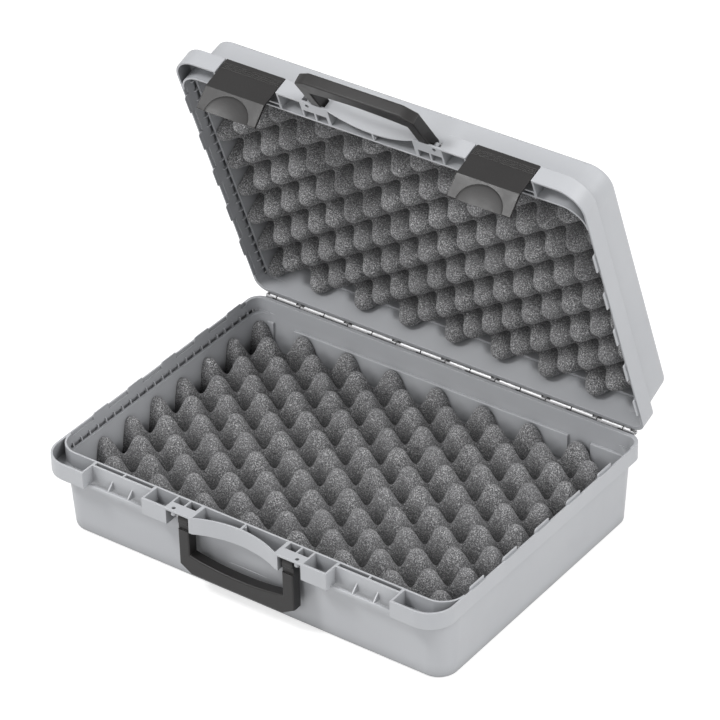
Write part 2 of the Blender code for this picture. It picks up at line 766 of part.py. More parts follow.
def knuckle_edges():
    """Where the knuckles begin and end, from left to right."""
    inner = [(i - (KNUCKLE_COUNT - 2) / 2) * KNUCKLE_PITCH for i in range(KNUCKLE_COUNT - 1)]
    return [-HINGE_END] + inner + [HINGE_END]


def rivet_places():
    return [(i - (RIVET_COUNT - 1) / 2) * RIVET_SPACING for i in range(RIVET_COUNT)]


def leaf_face():
    return CASE_DEPTH + FIT


def build_leaf(builder, name, up, first_knuckle):
    """One leaf of the piano hinge, with every second knuckle."""
    low, high = depth_range(up, LEAF_NOTCH, LEAF_HEIGHT)
    front = leaf_face()
    back = front + LEAF_THICKNESS
    leaf = block(name, (-HINGE_END, front, low), (HINGE_END, back, high), builder.parts)
    adds = builder.tools(name + "_knuckles")
    cuts = builder.tools(name + "_holes")
    edges = knuckle_edges()
    for i in range(first_knuckle, KNUCKLE_COUNT, 2):
        left = edges[i] + KNUCKLE_GAP / 2
        right = edges[i + 1] - KNUCKLE_GAP / 2
        rod("knuckle", (left, HINGE_Y, 0.0), (right, HINGE_Y, 0.0), KNUCKLE_RADIUS, adds)
        stem = depth_range(up, -BITE / 2, LEAF_NOTCH + BITE)
        block("stem", (left, front, stem[0]), (right, back, stem[1]), adds)
    over = HINGE_END + OVERRUN
    bore = HINGE_PIN_RADIUS + HINGE_PIN_FIT
    rod("pin_bore", (-over, HINGE_Y, 0.0), (over, HINGE_Y, 0.0), bore, cuts, 12)
    for x in rivet_places():
        z = up * RIVET_DROP
        ends = [(x, front - OVERRUN, z), (x, back + OVERRUN, z)]
        rod("rivet_hole", *ends, RIVET_RADIUS + FIT, cuts, 8)
    boolean(leaf, "UNION", adds)
    boolean(leaf, "DIFFERENCE", cuts)
    hide_tools(adds)
    hide_tools(cuts)
    leaf.data.materials.append(bright_steel(name))
    return [leaf] + list(adds.objects) + list(cuts.objects)


def build_hinge_pin(builder):
    end = HINGE_END + PIN_STICKOUT
    pin = rod("hinge_pin", (-end, HINGE_Y, 0.0), (end, HINGE_Y, 0.0), HINGE_PIN_RADIUS, builder.parts, 12)
    pin.data.materials.append(bright_steel("hinge_pin"))
    smooth(pin)
    return pin


def build_rivet(builder, name, x, up):
    """A turned rivet: a profile about its own axis, which then points to the back."""
    head = RIVET_HEAD_RADIUS
    under = leaf_face() + LEAF_THICKNESS + FIT
    tip = CASE_DEPTH - RIVET_LENGTH
    profile = [
        (0.0, under + RIVET_HEAD),
        (head * 0.75, under + RIVET_HEAD),
        (head, under),
        (RIVET_RADIUS, under),
        (RIVET_RADIUS, tip),
        (0.0, tip),
    ]
    turned = bmesh.new()
    points = [turned.verts.new((radius, 0.0, height)) for radius, height in profile]
    for a, b in zip(points, points[1:]):
        turned.edges.new((a, b))
    mesh = bpy.data.meshes.new(name)
    turned.to_mesh(mesh)
    turned.free()
    rivet = mesh_object(name, mesh, builder.parts)
    spin = rivet.modifiers.new("spin", "SCREW")
    spin.steps = 8
    spin.render_steps = 8
    spin.use_merge_vertices = True
    spin.merge_threshold = 0.0001
    mesh.transform(Matrix.Identity(4))
    rivet.data.materials.append(bright_steel(name))
    return rivet


# Latch


def latch_pin_span(side):
    """The pin's ends, from inner to outer, in the bay's two side walls."""
    seat = PARTITION * 0.75
    return side * (LATCH_BAY_INNER - seat), side * (LATCH_BAY_OUTER + seat)


def latch_outline():
    """Side view of the plate and its flap, as (y, z)."""
    slope = Vector((LATCH_FLAP_BACK - LATCH_FACE, LATCH_BEND - LATCH_FLAP_LOW)).normalized()
    inward = Vector((-slope.y, slope.x)) * LATCH_THICKNESS
    back = LATCH_FACE + LATCH_THICKNESS
    return [
        (LATCH_FACE, LATCH_TOP),
        (LATCH_FACE, -LATCH_BEND),
        (LATCH_FLAP_BACK, -LATCH_FLAP_LOW),
        (LATCH_FLAP_BACK + inward.x, -LATCH_FLAP_LOW + inward.y),
        (back, -LATCH_BEND + inward.y),
        (back, LATCH_TOP),
    ]


def build_latch(builder, name, side):
    inner = LATCH_BAY_INNER + LATCH_GAP
    outer = LATCH_BAY_OUTER - LATCH_GAP
    left, right = sorted((side * inner, side * outer))
    middle = (left + right) / 2
    latch = slab(name, latch_outline(), left, right, builder.parts, along="x")
    adds = builder.tools(name + "_additions")
    cuts = builder.tools(name + "_cutters")
    pivot_y = LATCH_PIVOT_BACK
    pivot_z = LATCH_PIVOT_UP
    start, end = [(x, pivot_y, pivot_z) for x in (left, right)]
    rod("barrel", start, end, LATCH_BARREL_RADIUS, adds)
    hook_top = BAR_BOTTOM + FIT * 2
    hook_back = LATCH_HOOK_BACK
    hook_low = hook_top + LATCH_HOOK_THICKNESS
    root = LATCH_FACE + LATCH_THICKNESS + LATCH_HOOK_ROOT
    hook = [(root, -hook_top), (hook_back, -hook_top), (hook_back, -hook_low), (root, -hook_low)]
    half = LATCH_HOOK_LENGTH / 2
    slab("hook", hook, middle - half, middle + half, adds, along="x")
    over = LATCH_GAP
    bore = [(x, pivot_y, pivot_z) for x in (left - over, right + over)]
    rod("pin_bore", *bore, LATCH_PIN_RADIUS + FIT, cuts, 12)
    for i in range(LATCH_GROOVE_COUNT):
        high = LATCH_GROOVE_TOP - LATCH_GROOVE_PITCH * i
        low_corner = (left - over, LATCH_FACE - OVERRUN, high - LATCH_GROOVE_WIDTH)
        high_corner = (right + over, LATCH_FACE + LATCH_GROOVE_DEPTH, high)
        block("groove", low_corner, high_corner, cuts)
    cut_thumb_scoop(middle, cuts)
    boolean(latch, "UNION", adds)
    boolean(latch, "DIFFERENCE", cuts)
    hide_tools(adds)
    hide_tools(cuts)
    latch.data.materials.append(black_plastic(name))
    return [latch] + list(adds.objects) + list(cuts.objects)


def cut_thumb_scoop(middle, cuts):
    """An arched hollow in the flap's face, up from its lower edge."""
    slope = Vector((0.0, LATCH_FLAP_BACK - LATCH_FACE, LATCH_BEND - LATCH_FLAP_LOW)).normalized()
    outward = Vector((0.0, slope.z, -slope.y))
    foot = Vector((middle, LATCH_FLAP_BACK, -LATCH_FLAP_LOW))
    centre = foot + slope * (LATCH_SCOOP_RADIUS * 0.15)
    start = centre + outward * OVERRUN
    end = centre - outward * LATCH_SCOOP_DEPTH
    rod("thumb_scoop", start, end, LATCH_SCOOP_RADIUS, cuts, 24)


def build_latch_pin(builder, name, side):
    start, end = [(x, LATCH_PIVOT_BACK, LATCH_PIVOT_UP) for x in latch_pin_span(side)]
    pin = rod(name, start, end, LATCH_PIN_RADIUS, builder.parts, 12)
    pin.data.materials.append(bright_steel(name))
    smooth(pin)
    return pin


# Handle


def handle_pin_span(side):
    """The pin's ends, from inner to outer, in the web and the bay's side wall."""
    return side * (ARC_END + ARM_WEB / 4), side * (HANDLE_BAY + PARTITION * 0.75)


def handle_outline():
    """Front view of the hanging handle, as (z, x) from its pivot's height."""
    outer = HANDLE_HALF_WIDTH
    inner = HANDLE_HALF_WIDTH - HANDLE_ARM_WIDTH
    low = -HANDLE_REACH
    right = [
        (0.0, inner),
        (0.0, outer),
        (low + HANDLE_CHAMFER_UP, outer),
        (low, outer - HANDLE_CHAMFER_ACROSS),
    ]
    left = [(z, -x) for z, x in reversed(right)]
    arch = [(-z, x) for x, z in sagging_arc(inner, HANDLE_INNER_REACH, HANDLE_ARCH, 10)]
    return right + left + arch


def build_handle(builder, name, up):
    front = HANDLE_PIVOT_BACK - HANDLE_DEPTH / 2
    outline = [(up * (HANDLE_PIVOT_DROP - z), x) for z, x in handle_outline()]
    handle = slab(name, outline, front, front + HANDLE_DEPTH, builder.parts, along="y")
    round_edges(handle, HANDLE_EDGE)
    adds = builder.tools(name + "_eyes")
    cuts = builder.tools(name + "_holes")
    height = up * HANDLE_PIVOT_DROP
    relief = (HANDLE_RELIEF_START, HANDLE_RELIEF_END)
    for side in (-1, 1):
        spans = (HANDLE_HALF_WIDTH - HANDLE_ARM_WIDTH, HANDLE_HALF_WIDTH)
        ends = [(side * x, HANDLE_PIVOT_BACK, height) for x in spans]
        rod("eye", *ends, HANDLE_DEPTH / 2, adds)
        ends = [(side * x, HANDLE_PIVOT_BACK, height) for x in (ARC_END, HANDLE_BAY)]
        rod("pin_bore", *ends, HANDLE_PIN_RADIUS + FIT, cuts, 12)
        # The arm is thinner below its eye, so that it clears the pivot plate when it swings out.
        low, high = depth_range(up, *[HANDLE_PIVOT_DROP + run for run in relief])
        left, right = sorted(side * x for x in (spans[0] - OVERRUN, spans[1] + OVERRUN))
        corners = (left, front - OVERRUN, low), (right, front + HANDLE_RELIEF, high)
        block("arm_relief", *corners, cuts)
    boolean(handle, "UNION", adds)
    boolean(handle, "DIFFERENCE", cuts)
    hide_tools(adds)
    hide_tools(cuts)
    handle.data.materials.append(black_plastic(name))
    return [handle] + list(adds.objects) + list(cuts.objects)


def build_handle_pin(builder, name, side, up):
    start, end = [(x, HANDLE_PIVOT_BACK, up * HANDLE_PIVOT_DROP) for x in handle_pin_span(side)]
    pin = rod(name, start, end, HANDLE_PIN_RADIUS, builder.parts, 12)
    pin.data.materials.append(bright_steel(name))
    smooth(pin)
    return pin


def build_half(builder, word, up, frame, origin):
    """One half of the case with everything fixed to it, apart from its latches and handle."""
    base = up == BASE
    height = BASE_HEIGHT if base else LID_HEIGHT
    inset = BASE_FRONT_INSET if base else LID_FRONT_INSET
    draft = BASE_DRAFT if base else LID_DRAFT
    panel_top = BASE_PANEL_TOP if base else LID_PANEL_TOP
    staggered_side = 1 if base else -1
    tip = BASE_FOAM_TIP if base else LID_FOAM_TIP
    amplitude = BASE_FOAM_AMPLITUDE if base else LID_FOAM_AMPLITUDE
    shape = (height, inset, draft)
    pieces = build_shell(builder, word + "_shell", up, *shape, staggered_side, panel_top)
    pieces += build_foam(builder, word + "_foam", up, height, draft, tip, amplitude)
    pieces += build_leaf(builder, word + "_hinge_leaf", up, 0 if base else 1)
    for side, where in ((-1, "left"), (1, "right")):
        pieces.append(build_handle_pin(builder, f"{word}_handle_pin_{where}", side, up))
    for piece in pieces:
        builder.seat(piece, frame, origin)
    for i, x in enumerate(rivet_places()):
        rivet = build_rivet(builder, f"{word}_hinge_rivet_{i + 1}", x, up)
        rivet.parent = frame
        rivet.rotation_euler.x = -pi / 2
        rivet.location = Vector((x, 0.0, up * RIVET_DROP)) - Vector(origin)


def build_case():
    clear_scene()
    builder = Builder()
    base_origin = (0.0, 0.0, 0.0)
    hinge = (0.0, HINGE_Y, 0.0)
    base_frame = builder.frame("base_frame", (0.0, -CASE_DEPTH / 2, BASE_HEIGHT))
    lid_frame = builder.frame("lid_frame", hinge, base_frame, -radians(LID_OPEN_ANGLE))
    build_half(builder, "base", BASE, base_frame, base_origin)
    build_half(builder, "lid", LID, lid_frame, hinge)
    builder.seat(build_hinge_pin(builder), base_frame, base_origin, hinge)
    for side, where in ((-1, "left"), (1, "right")):
        pivot = (0.0, LATCH_PIVOT_BACK, LATCH_PIVOT_UP)
        for piece in build_latch(builder, f"latch_{where}", side):
            builder.seat(piece, lid_frame, hinge, pivot)
        builder.seat(build_latch_pin(builder, f"latch_pin_{where}", side), lid_frame, hinge)
    for up, word, frame, origin, turn in (
        (BASE, "base", base_frame, base_origin, 0.0),
        (LID, "lid", lid_frame, hinge, radians(LID_HANDLE_ANGLE)),
    ):
        pivot = (0.0, HANDLE_PIVOT_BACK, up * HANDLE_PIVOT_DROP)
        for piece in build_handle(builder, word + "_handle", up):
            builder.seat(piece, frame, origin, pivot, turn)
    switch_on_booleans()


build_case()
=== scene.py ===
# Looks of the foam-lined hard case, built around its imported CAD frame.
# Lengths are metres. Every piece is modelled closed, in the case frame: X along the hinge, Y from
# the front rim's face to the back, Z up from the parting plane. It is then moved to where the open
# case in the frame has it.

import json
from math import acos, asin, cos, degrees, pi, radians, sin, sqrt

import bmesh
import bpy
from mathutils import Matrix, Vector, noise

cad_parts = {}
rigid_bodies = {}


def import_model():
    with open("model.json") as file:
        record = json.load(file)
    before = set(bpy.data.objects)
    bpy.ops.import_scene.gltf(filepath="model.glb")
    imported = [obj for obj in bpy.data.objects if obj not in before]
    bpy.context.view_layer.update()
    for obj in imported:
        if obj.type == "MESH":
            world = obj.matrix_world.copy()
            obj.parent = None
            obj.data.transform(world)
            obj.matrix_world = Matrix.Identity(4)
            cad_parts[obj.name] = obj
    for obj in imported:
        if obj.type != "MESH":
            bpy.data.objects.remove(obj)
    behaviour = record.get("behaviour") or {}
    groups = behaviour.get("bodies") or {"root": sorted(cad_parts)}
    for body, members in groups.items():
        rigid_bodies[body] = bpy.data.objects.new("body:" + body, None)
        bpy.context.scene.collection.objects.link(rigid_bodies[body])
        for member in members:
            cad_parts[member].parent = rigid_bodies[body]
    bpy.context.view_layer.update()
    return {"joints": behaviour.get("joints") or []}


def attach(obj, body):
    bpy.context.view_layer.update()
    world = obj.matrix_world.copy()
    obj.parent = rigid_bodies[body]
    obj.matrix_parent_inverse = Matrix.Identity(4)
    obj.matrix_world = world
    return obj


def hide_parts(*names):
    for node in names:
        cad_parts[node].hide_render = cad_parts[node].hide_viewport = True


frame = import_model()

# Sizes from the CAD source
CASE_WIDTH = 0.440
CASE_DEPTH = 0.327
BASE_HEIGHT = 0.087
LID_HEIGHT = 0.053
BAND_HEIGHT = 0.018
FRONT_CORNER_RADIUS = 0.026
BACK_CORNER_RADIUS = 0.014
BODY_FRONT_RADIUS = 0.024
BODY_BACK_RADIUS = 0.022
EDGE_RADIUS = 0.004
SIDE_INSET = 0.0048
BASE_FRONT_INSET = 0.0178
LID_FRONT_INSET = 0.0200
BACK_INSET = 0.001
BASE_DRAFT = 0.004
LID_DRAFT = 0.0014
WALL = 0.0024
FLOOR = 0.0025
FLANGE = 0.0018
RIM_WALL = 0.003
RIM_STRIP = 0.0015
BACK_RIM_WALL = 0.0045
INNER_WALL = 0.002
FRONT_BLOCK = 0.0225
RECESS_WALL_FACE = 0.0145
RECESS_WALL = 0.0022
LEDGE_DEPTH = 0.014
GROOVE_FLOOR = 0.0174
PARTING = 0.00015
FIT = 0.0003
OVERRUN = 0.002
BITE = 0.0005
HALF_WIDTH = CASE_WIDTH / 2
HINGE_Y = CASE_DEPTH + 0.0036
RIM_FACE = HALF_WIDTH - RIM_WALL
BODY_SIDE = HALF_WIDTH - SIDE_INSET
CAVITY_SIDE = BODY_SIDE - WALL
CAVITY_BACK = CASE_DEPTH - BACK_RIM_WALL
POCKET_BACK = FRONT_BLOCK - INNER_WALL
POCKET_FLOOR = BAND_HEIGHT - FLANGE
INNER_CORNER = FRONT_BLOCK - RIM_STRIP / 2
LATCH_BAY_OUTER = 0.1694
LATCH_BAY_INNER = 0.1018
HANDLE_BAY = 0.0743
PARTITION = 0.002
FRONT_WALL = 0.0022
ARC_END = 0.0472
ARC_SAGITTA = 0.0106
ARC_WALL = 0.0018
ARM_WEB = 0.002
PIVOT_PLATE = 0.0022
PIVOT_PLATE_DEPTH = 0.0115
HANDLE_Y = 0.008
HANDLE_Z = 0.009
HANDLE_PIN_RADIUS = 0.002
LATCH_Y = 0.0055
LATCH_Z = 0.012
LATCH_PIN_RADIUS = 0.0015
RIVET_COUNT = 5
RIVET_PITCH = 0.09
PLATE_HOLE_Y = 0.0041
PLATE_HOLE_IN = 0.0061

# Roundings that only the looks have
RIM_ROUND = 0.00035
BAND_ROUND = 0.0009
CORNER_STEPS = 20
EDGE_STEPS = 7

BASE = -1
LID = 1

joint = {j["name"]: j for j in frame["joints"]}
OPEN_ANGLE = radians(-joint["lid_hinge"]["range_deg"][0])
GRIP_ANGLE = radians(-joint["lid_handle_pivot"]["range_deg"][0])
BASE_PLACE = Matrix.Translation((0.0, -CASE_DEPTH / 2, BASE_HEIGHT))
LID_PLACE = (
    BASE_PLACE
    @ Matrix.Translation((0.0, HINGE_Y, 0.0))
    @ Matrix.Rotation(-OPEN_ANGLE, 4, "X")
    @ Matrix.Translation((0.0, -HINGE_Y, 0.0))
)


# Outlines


def arc(centre, radius, start, end, steps=CORNER_STEPS):
    turn = radians(end - start) / steps
    angles = [radians(start) + turn * i for i in range(steps + 1)]
    return [(centre[0] + radius * cos(a), centre[1] + radius * sin(a)) for a in angles]


def box_outline(left, front, right, back):
    return [(left, front), (right, front), (right, back), (left, back)]


def rounded_outline(side, front, back, front_radius, back_radius, steps=CORNER_STEPS):
    points = arc((side - front_radius, front + front_radius), front_radius, -90, 0, steps)
    points += arc((side - back_radius, back - back_radius), back_radius, 0, 90, steps)
    return points + [(-x, y) for x, y in reversed(points)]


def sagging_arc(end, edge, sagitta, steps=36):
    radius = (end * end + sagitta * sagitta) / (2 * sagitta)
    half = degrees(asin(end / radius))
    return arc((0.0, edge + sagitta - radius), radius, 90 + half, 90 - half, steps)


def rounded_polygon(points, radius, steps=5):
    """The outline with its corners rounded."""
    made = []
    for i, point in enumerate(points):
        here = Vector(point)
        before = (Vector(points[i - 1]) - here).normalized()
        after = (Vector(points[(i + 1) % len(points)]) - here).normalized()
        start, end = here + before * radius, here + after * radius
        for k in range(steps + 1):
            t = k / steps
            made.append(tuple((1 - t) ** 2 * start + 2 * t * (1 - t) * here + t * t * end))
    return made


def mirrored(outline, side):
    return [(side * x, y) for x, y in outline]


def signed_area(outline):
    return sum(a[0] * b[1] - b[0] * a[1] for a, b in zip(outline, outline[1:] + outline[:1])) / 2


def grown(outline, by):
    """The outline moved outward by a small distance, with mitred corners."""
    turn = 1 if signed_area(outline) > 0 else -1
    made = []
    for i, point in enumerate(outline):
        here = Vector(point)
        a = (here - Vector(outline[i - 1])).normalized()
        b = (Vector(outline[(i + 1) % len(outline)]) - here).normalized()
        normal_a, normal_b = Vector((a.y, -a.x)) * turn, Vector((b.y, -b.x)) * turn
        middle = normal_a + normal_b
        if middle.length < 0.5:
            made.append(tuple(here + normal_a * by))
            continue
        middle.normalize()
        made.append(tuple(here + middle * (by / max(middle.dot(normal_a), 0.5))))
    return made


# Solids


def mesh_object(name, skin, group=None):
    """An object made of the faces, which all end up facing outward."""
    bmesh.ops.recalc_face_normals(skin, faces=skin.faces)
    if skin.calc_volume(signed=True) < 0:
        bmesh.ops.reverse_faces(skin, faces=skin.faces)
    mesh = bpy.data.meshes.new(name)
    skin.to_mesh(mesh)
    skin.free()
    made = bpy.data.objects.new(name, mesh)
    (group or bpy.context.scene.collection).objects.link(made)
    return made


def loft(name, rings, group=None):
    """A closed solid through rings of points in space, all with the same count."""
    skin = bmesh.new()
    layers = [[skin.verts.new(point) for point in ring] for ring in rings]
    for near, far in zip(layers, layers[1:]):
        for i in range(len(near)):
            j = (i + 1) % len(near)
            skin.faces.new((near[i], near[j], far[j], far[i]))
    skin.faces.new(layers[0])
    skin.faces.new(layers[-1])
    return mesh_object(name, skin, group)


def placed(outline, height, along):
    """An outline at a height: along z it is (x, y), along x (y, z) and along y (z, x)."""
    if along == "z":
        return [(u, v, height) for u, v in outline]
    if along == "x":
        return [(height, u, v) for u, v in outline]
    return [(v, height, u) for u, v in outline]


def slab(name, outline, low, high, group=None, along="z", soften=0.0, steps=4):
    """The outline extruded between two heights, with both rims rounded by soften."""
    if not soften:
        levels = [(low, 0.0), (high, 0.0)]
    else:
        quarter = [radians(90) * i / steps for i in range(steps + 1)]
        foot = [(low + soften * (1 - sin(t)), soften * (1 - cos(t))) for t in reversed(quarter)]
        head = [(high - soften * (1 - sin(t)), soften * (1 - cos(t))) for t in quarter]
        levels = foot + head
    rings = [placed(grown(outline, -inset), height, along) for height, inset in levels]
    return loft(name, rings, group)


def block(name, low, high, group=None, soften=0.0):
    low, high = [[f(a, b) for a, b in zip(low, high)] for f in (min, max)]
    outline = box_outline(low[0], low[1], high[0], high[1])
    if soften:
        outline = rounded_polygon(outline, soften, 3)
    return slab(name, outline, low[2], high[2], group, soften=soften)


def turned(name, start, end, profile, group=None, sides=32):
    """A solid of revolution: profile holds (distance from start, radius)."""
    start = Vector(start)
    run = Vector(end) - start
    turn = run.to_track_quat("Z", "Y").to_matrix()
    rings = []
    for distance, radius in profile:
        ring = [(cos(2 * pi * i / sides) * radius, sin(2 * pi * i / sides) * radius) for i in range(sides)]
        rings.append([tuple(start + turn @ Vector((x, y, distance))) for x, y in ring])
    return loft(name, rings, group)


def rod(name, start, end, radius, group=None, sides=32, chamfer=0.0):
    length = (Vector(end) - Vector(start)).length
    if not chamfer:
        return turned(name, start, end, [(0.0, radius), (length, radius)], group, sides)
    profile = [(0.0, radius - chamfer), (chamfer * 0.3, radius - chamfer * 0.3), (chamfer, radius)]
    profile += [(length - d, r) for d, r in reversed(profile)]
    return turned(name, start, end, profile, group, sides)


def tube(start, end, profile, group, sides=28):
    """A ring-shaped solid: the closed profile of (distance, radius) turned about an axis."""
    start = Vector(start)
    turn = (Vector(end) - start).to_track_quat("Z", "Y").to_matrix()
    skin = bmesh.new()
    layers = []
    for i in range(sides):
        a = 2 * pi * i / sides
        spoke = [Vector((cos(a) * r, sin(a) * r, d)) for d, r in profile]
        layers.append([skin.verts.new(start + turn @ point) for point in spoke])
    for near, far in zip(layers, layers[1:] + layers[:1]):
        for i in range(len(profile)):
            j = (i + 1) % len(profile)
            skin.faces.new((near[i], near[j], far[j], far[i]))
    return mesh_object("tube", skin, group)


def boolean(target, kind, group):
    step = target.modifiers.new(kind.lower(), "BOOLEAN")
    step.operation = kind
    step.operand_type = "COLLECTION"
    step.collection = group
    step.solver = "MANIFOLD"


def tool_group(name):
    made = bpy.data.collections.new(name)
    bpy.context.scene.collection.children.link(made)
    return made


def bake(target, groups=(), sharp=32):
    """Works out the modifiers, drops the tools and sets smooth shading between sharp edges."""
    bpy.context.view_layer.update()
    graph = bpy.context.evaluated_depsgraph_get()
    mesh = bpy.data.meshes.new_from_object(target.evaluated_get(graph))
    target.modifiers.clear()
    target.data = mesh
    for group in groups:
        for tool in list(group.objects):
            bpy.data.objects.remove(tool, do_unlink=True)
        bpy.data.collections.remove(group)
    clean = bmesh.new()
    clean.from_mesh(mesh)
    bmesh.ops.remove_doubles(clean, verts=clean.verts, dist=0.000004)
    bmesh.ops.dissolve_limit(
        clean, angle_limit=radians(0.4), verts=clean.verts, edges=clean.edges
    )
    clean.to_mesh(mesh)
    clean.free()
    mesh.shade_smooth()
    mesh.set_sharp_from_angle(angle=radians(sharp))
    weigh = target.modifiers.new("weigh_normals", "WEIGHTED_NORMAL")
    weigh.keep_sharp = True
    return target


def smooth_round(piece):
    piece.data.shade_smooth()
    piece.data.set_sharp_from_angle(angle=radians(40))


# Shells


def cut_plan(name, outline, up, near, far, group, flare=RIM_ROUND):
    """A pocket open at the rim, whose mouth has a rounded edge; depths are behind the parting plane."""
    levels = [(far, 0.0)]
    if near < 0 and flare:
        for i in range(4):
            turn = radians(90) * i / 3
            levels.append((PARTING + flare * (1 - sin(turn)), flare * (1 - cos(turn))))
        levels.append((near, flare))
    else:
        levels.append((near, 0.0))
    rings = [placed(grown(outline, inset), up * depth, "z") for depth, inset in levels]
    return loft(name, rings, group)


def body_outline(side, front, back, front_radius, back_radius, inset):
    radii = [radius - inset for radius in (front_radius, back_radius)]
    return rounded_outline(side - inset, front + inset, back - inset, *radii)


def shell_blank(name, up, height, front_inset, draft):
    plan = (BODY_SIDE, front_inset, CASE_DEPTH - BACK_INSET, BODY_FRONT_RADIUS, BODY_BACK_RADIUS)
    rings = [placed(body_outline(*plan, 0.0), up * (BAND_HEIGHT - FLANGE / 2), "z")]
    for i in range(EDGE_STEPS + 1):
        turn = radians(90) * i / EDGE_STEPS
        inset = draft + EDGE_RADIUS * (1 - cos(turn))
        depth = height - EDGE_RADIUS * (1 - sin(turn))
        rings.append(placed(body_outline(*plan, inset), up * depth, "z"))
    return loft(name, rings)


def rim_band(up, group):
    plan = (HALF_WIDTH, 0.0, CASE_DEPTH, FRONT_CORNER_RADIUS, BACK_CORNER_RADIUS)
    rings = []
    for i in range(5):
        turn = radians(90) * i / 4
        rings.append((PARTING + RIM_ROUND * (1 - cos(turn)), RIM_ROUND - RIM_ROUND * sin(turn)))
    for i in range(5):
        turn = radians(90) * i / 4
        rings.append((BAND_HEIGHT - BAND_ROUND * (1 - sin(turn)), BAND_ROUND * (1 - cos(turn))))
    loft("band", [placed(body_outline(*plan, inset), up * depth, "z") for depth, inset in rings], group)


def corner_pocket_outline():
    outer_radius = FRONT_CORNER_RADIUS - FRONT_WALL
    outer_centre = (HALF_WIDTH - FRONT_CORNER_RADIUS, FRONT_CORNER_RADIUS)
    inner_radius = INNER_CORNER + INNER_WALL
    inner_centre = (RIM_FACE - INNER_CORNER, FRONT_BLOCK + INNER_CORNER)
    side = HALF_WIDTH - FRONT_WALL
    meet = -degrees(acos((side - inner_centre[0]) / inner_radius))
    points = [(LATCH_BAY_OUTER + PARTITION, FRONT_WALL)]
    points += arc(outer_centre, outer_radius, -90, 0)
    points += arc(inner_centre, inner_radius, meet, -90)
    return points + [(LATCH_BAY_OUTER + PARTITION, POCKET_BACK)]


def lower_cavity_rings(up, height, draft, gap, shallow, deep):
    taper = draft / (height - POCKET_FLOOR)
    plan = (CAVITY_SIDE, FRONT_BLOCK, CAVITY_BACK, INNER_CORNER, BODY_BACK_RADIUS - WALL)
    depths = (shallow, POCKET_FLOOR, deep) if shallow < POCKET_FLOOR else (shallow, deep)
    insets = [gap + taper * max(depth - POCKET_FLOOR, 0.0) for depth in depths]
    return [placed(body_outline(*plan, i), up * d, "z") for i, d in zip(insets, depths)]


def cut_main_cavity(up, height, draft, group):
    upper = rounded_outline(RIM_FACE, FRONT_BLOCK, CAVITY_BACK, INNER_CORNER, BACK_CORNER_RADIUS - RIM_WALL)
    cut_plan("upper_cavity", upper, up, -0.005, LEDGE_DEPTH, group)
    shallow = LEDGE_DEPTH - OVERRUN
    loft("lower_cavity", lower_cavity_rings(up, height, draft, 0.0, shallow, height - FLOOR), group)
    for side in (-1, 1):
        groove = mirrored(box_outline(BODY_SIDE, RIB_FIRST - 0.0024, RIM_FACE, RIB_LAST + 0.012), side)
        cut_plan("side_groove", groove, up, LEDGE_DEPTH - OVERRUN, GROOVE_FLOOR, group)
        slot = box_outline(BODY_SIDE, RIB_FIRST - 0.0024, RIM_FACE + RIB_SLOT, RIB_LAST + RIB_PITCH)
        slot = mirrored(slot, side)
        cut_plan("rib_slot", slot, up, LEDGE_DEPTH - 0.0014, GROOVE_FLOOR, group)


def cut_front_pockets(up, group):
    box = box_outline(HANDLE_BAY + PARTITION, FRONT_WALL, LATCH_BAY_INNER - PARTITION, POCKET_BACK)
    middle = (LATCH_BAY_INNER + LATCH_BAY_OUTER) / 2
    bay = box_outline(LATCH_BAY_INNER, -OVERRUN, LATCH_BAY_OUTER, RECESS_WALL_FACE)
    slots = [
        (LATCH_BAY_INNER + PARTITION / 2, middle - PARTITION / 2),
        (middle + PARTITION / 2, LATCH_BAY_OUTER - PARTITION / 2),
    ]
    for side in (-1, 1):
        cut_plan("corner_pocket", mirrored(corner_pocket_outline(), side), up, -OVERRUN, POCKET_FLOOR, group)
        cut_plan("box_pocket", mirrored(box, side), up, -OVERRUN, POCKET_FLOOR, group)
        cut_plan("latch_bay", mirrored(bay, side), up, -OVERRUN, BAND_HEIGHT + BITE, group)
        for near, far in slots:
            slot = mirrored(box_outline(near, RECESS_WALL_FACE + RECESS_WALL, far, POCKET_BACK), side)
            cut_plan("latch_slot", slot, up, -OVERRUN, POCKET_FLOOR, group)


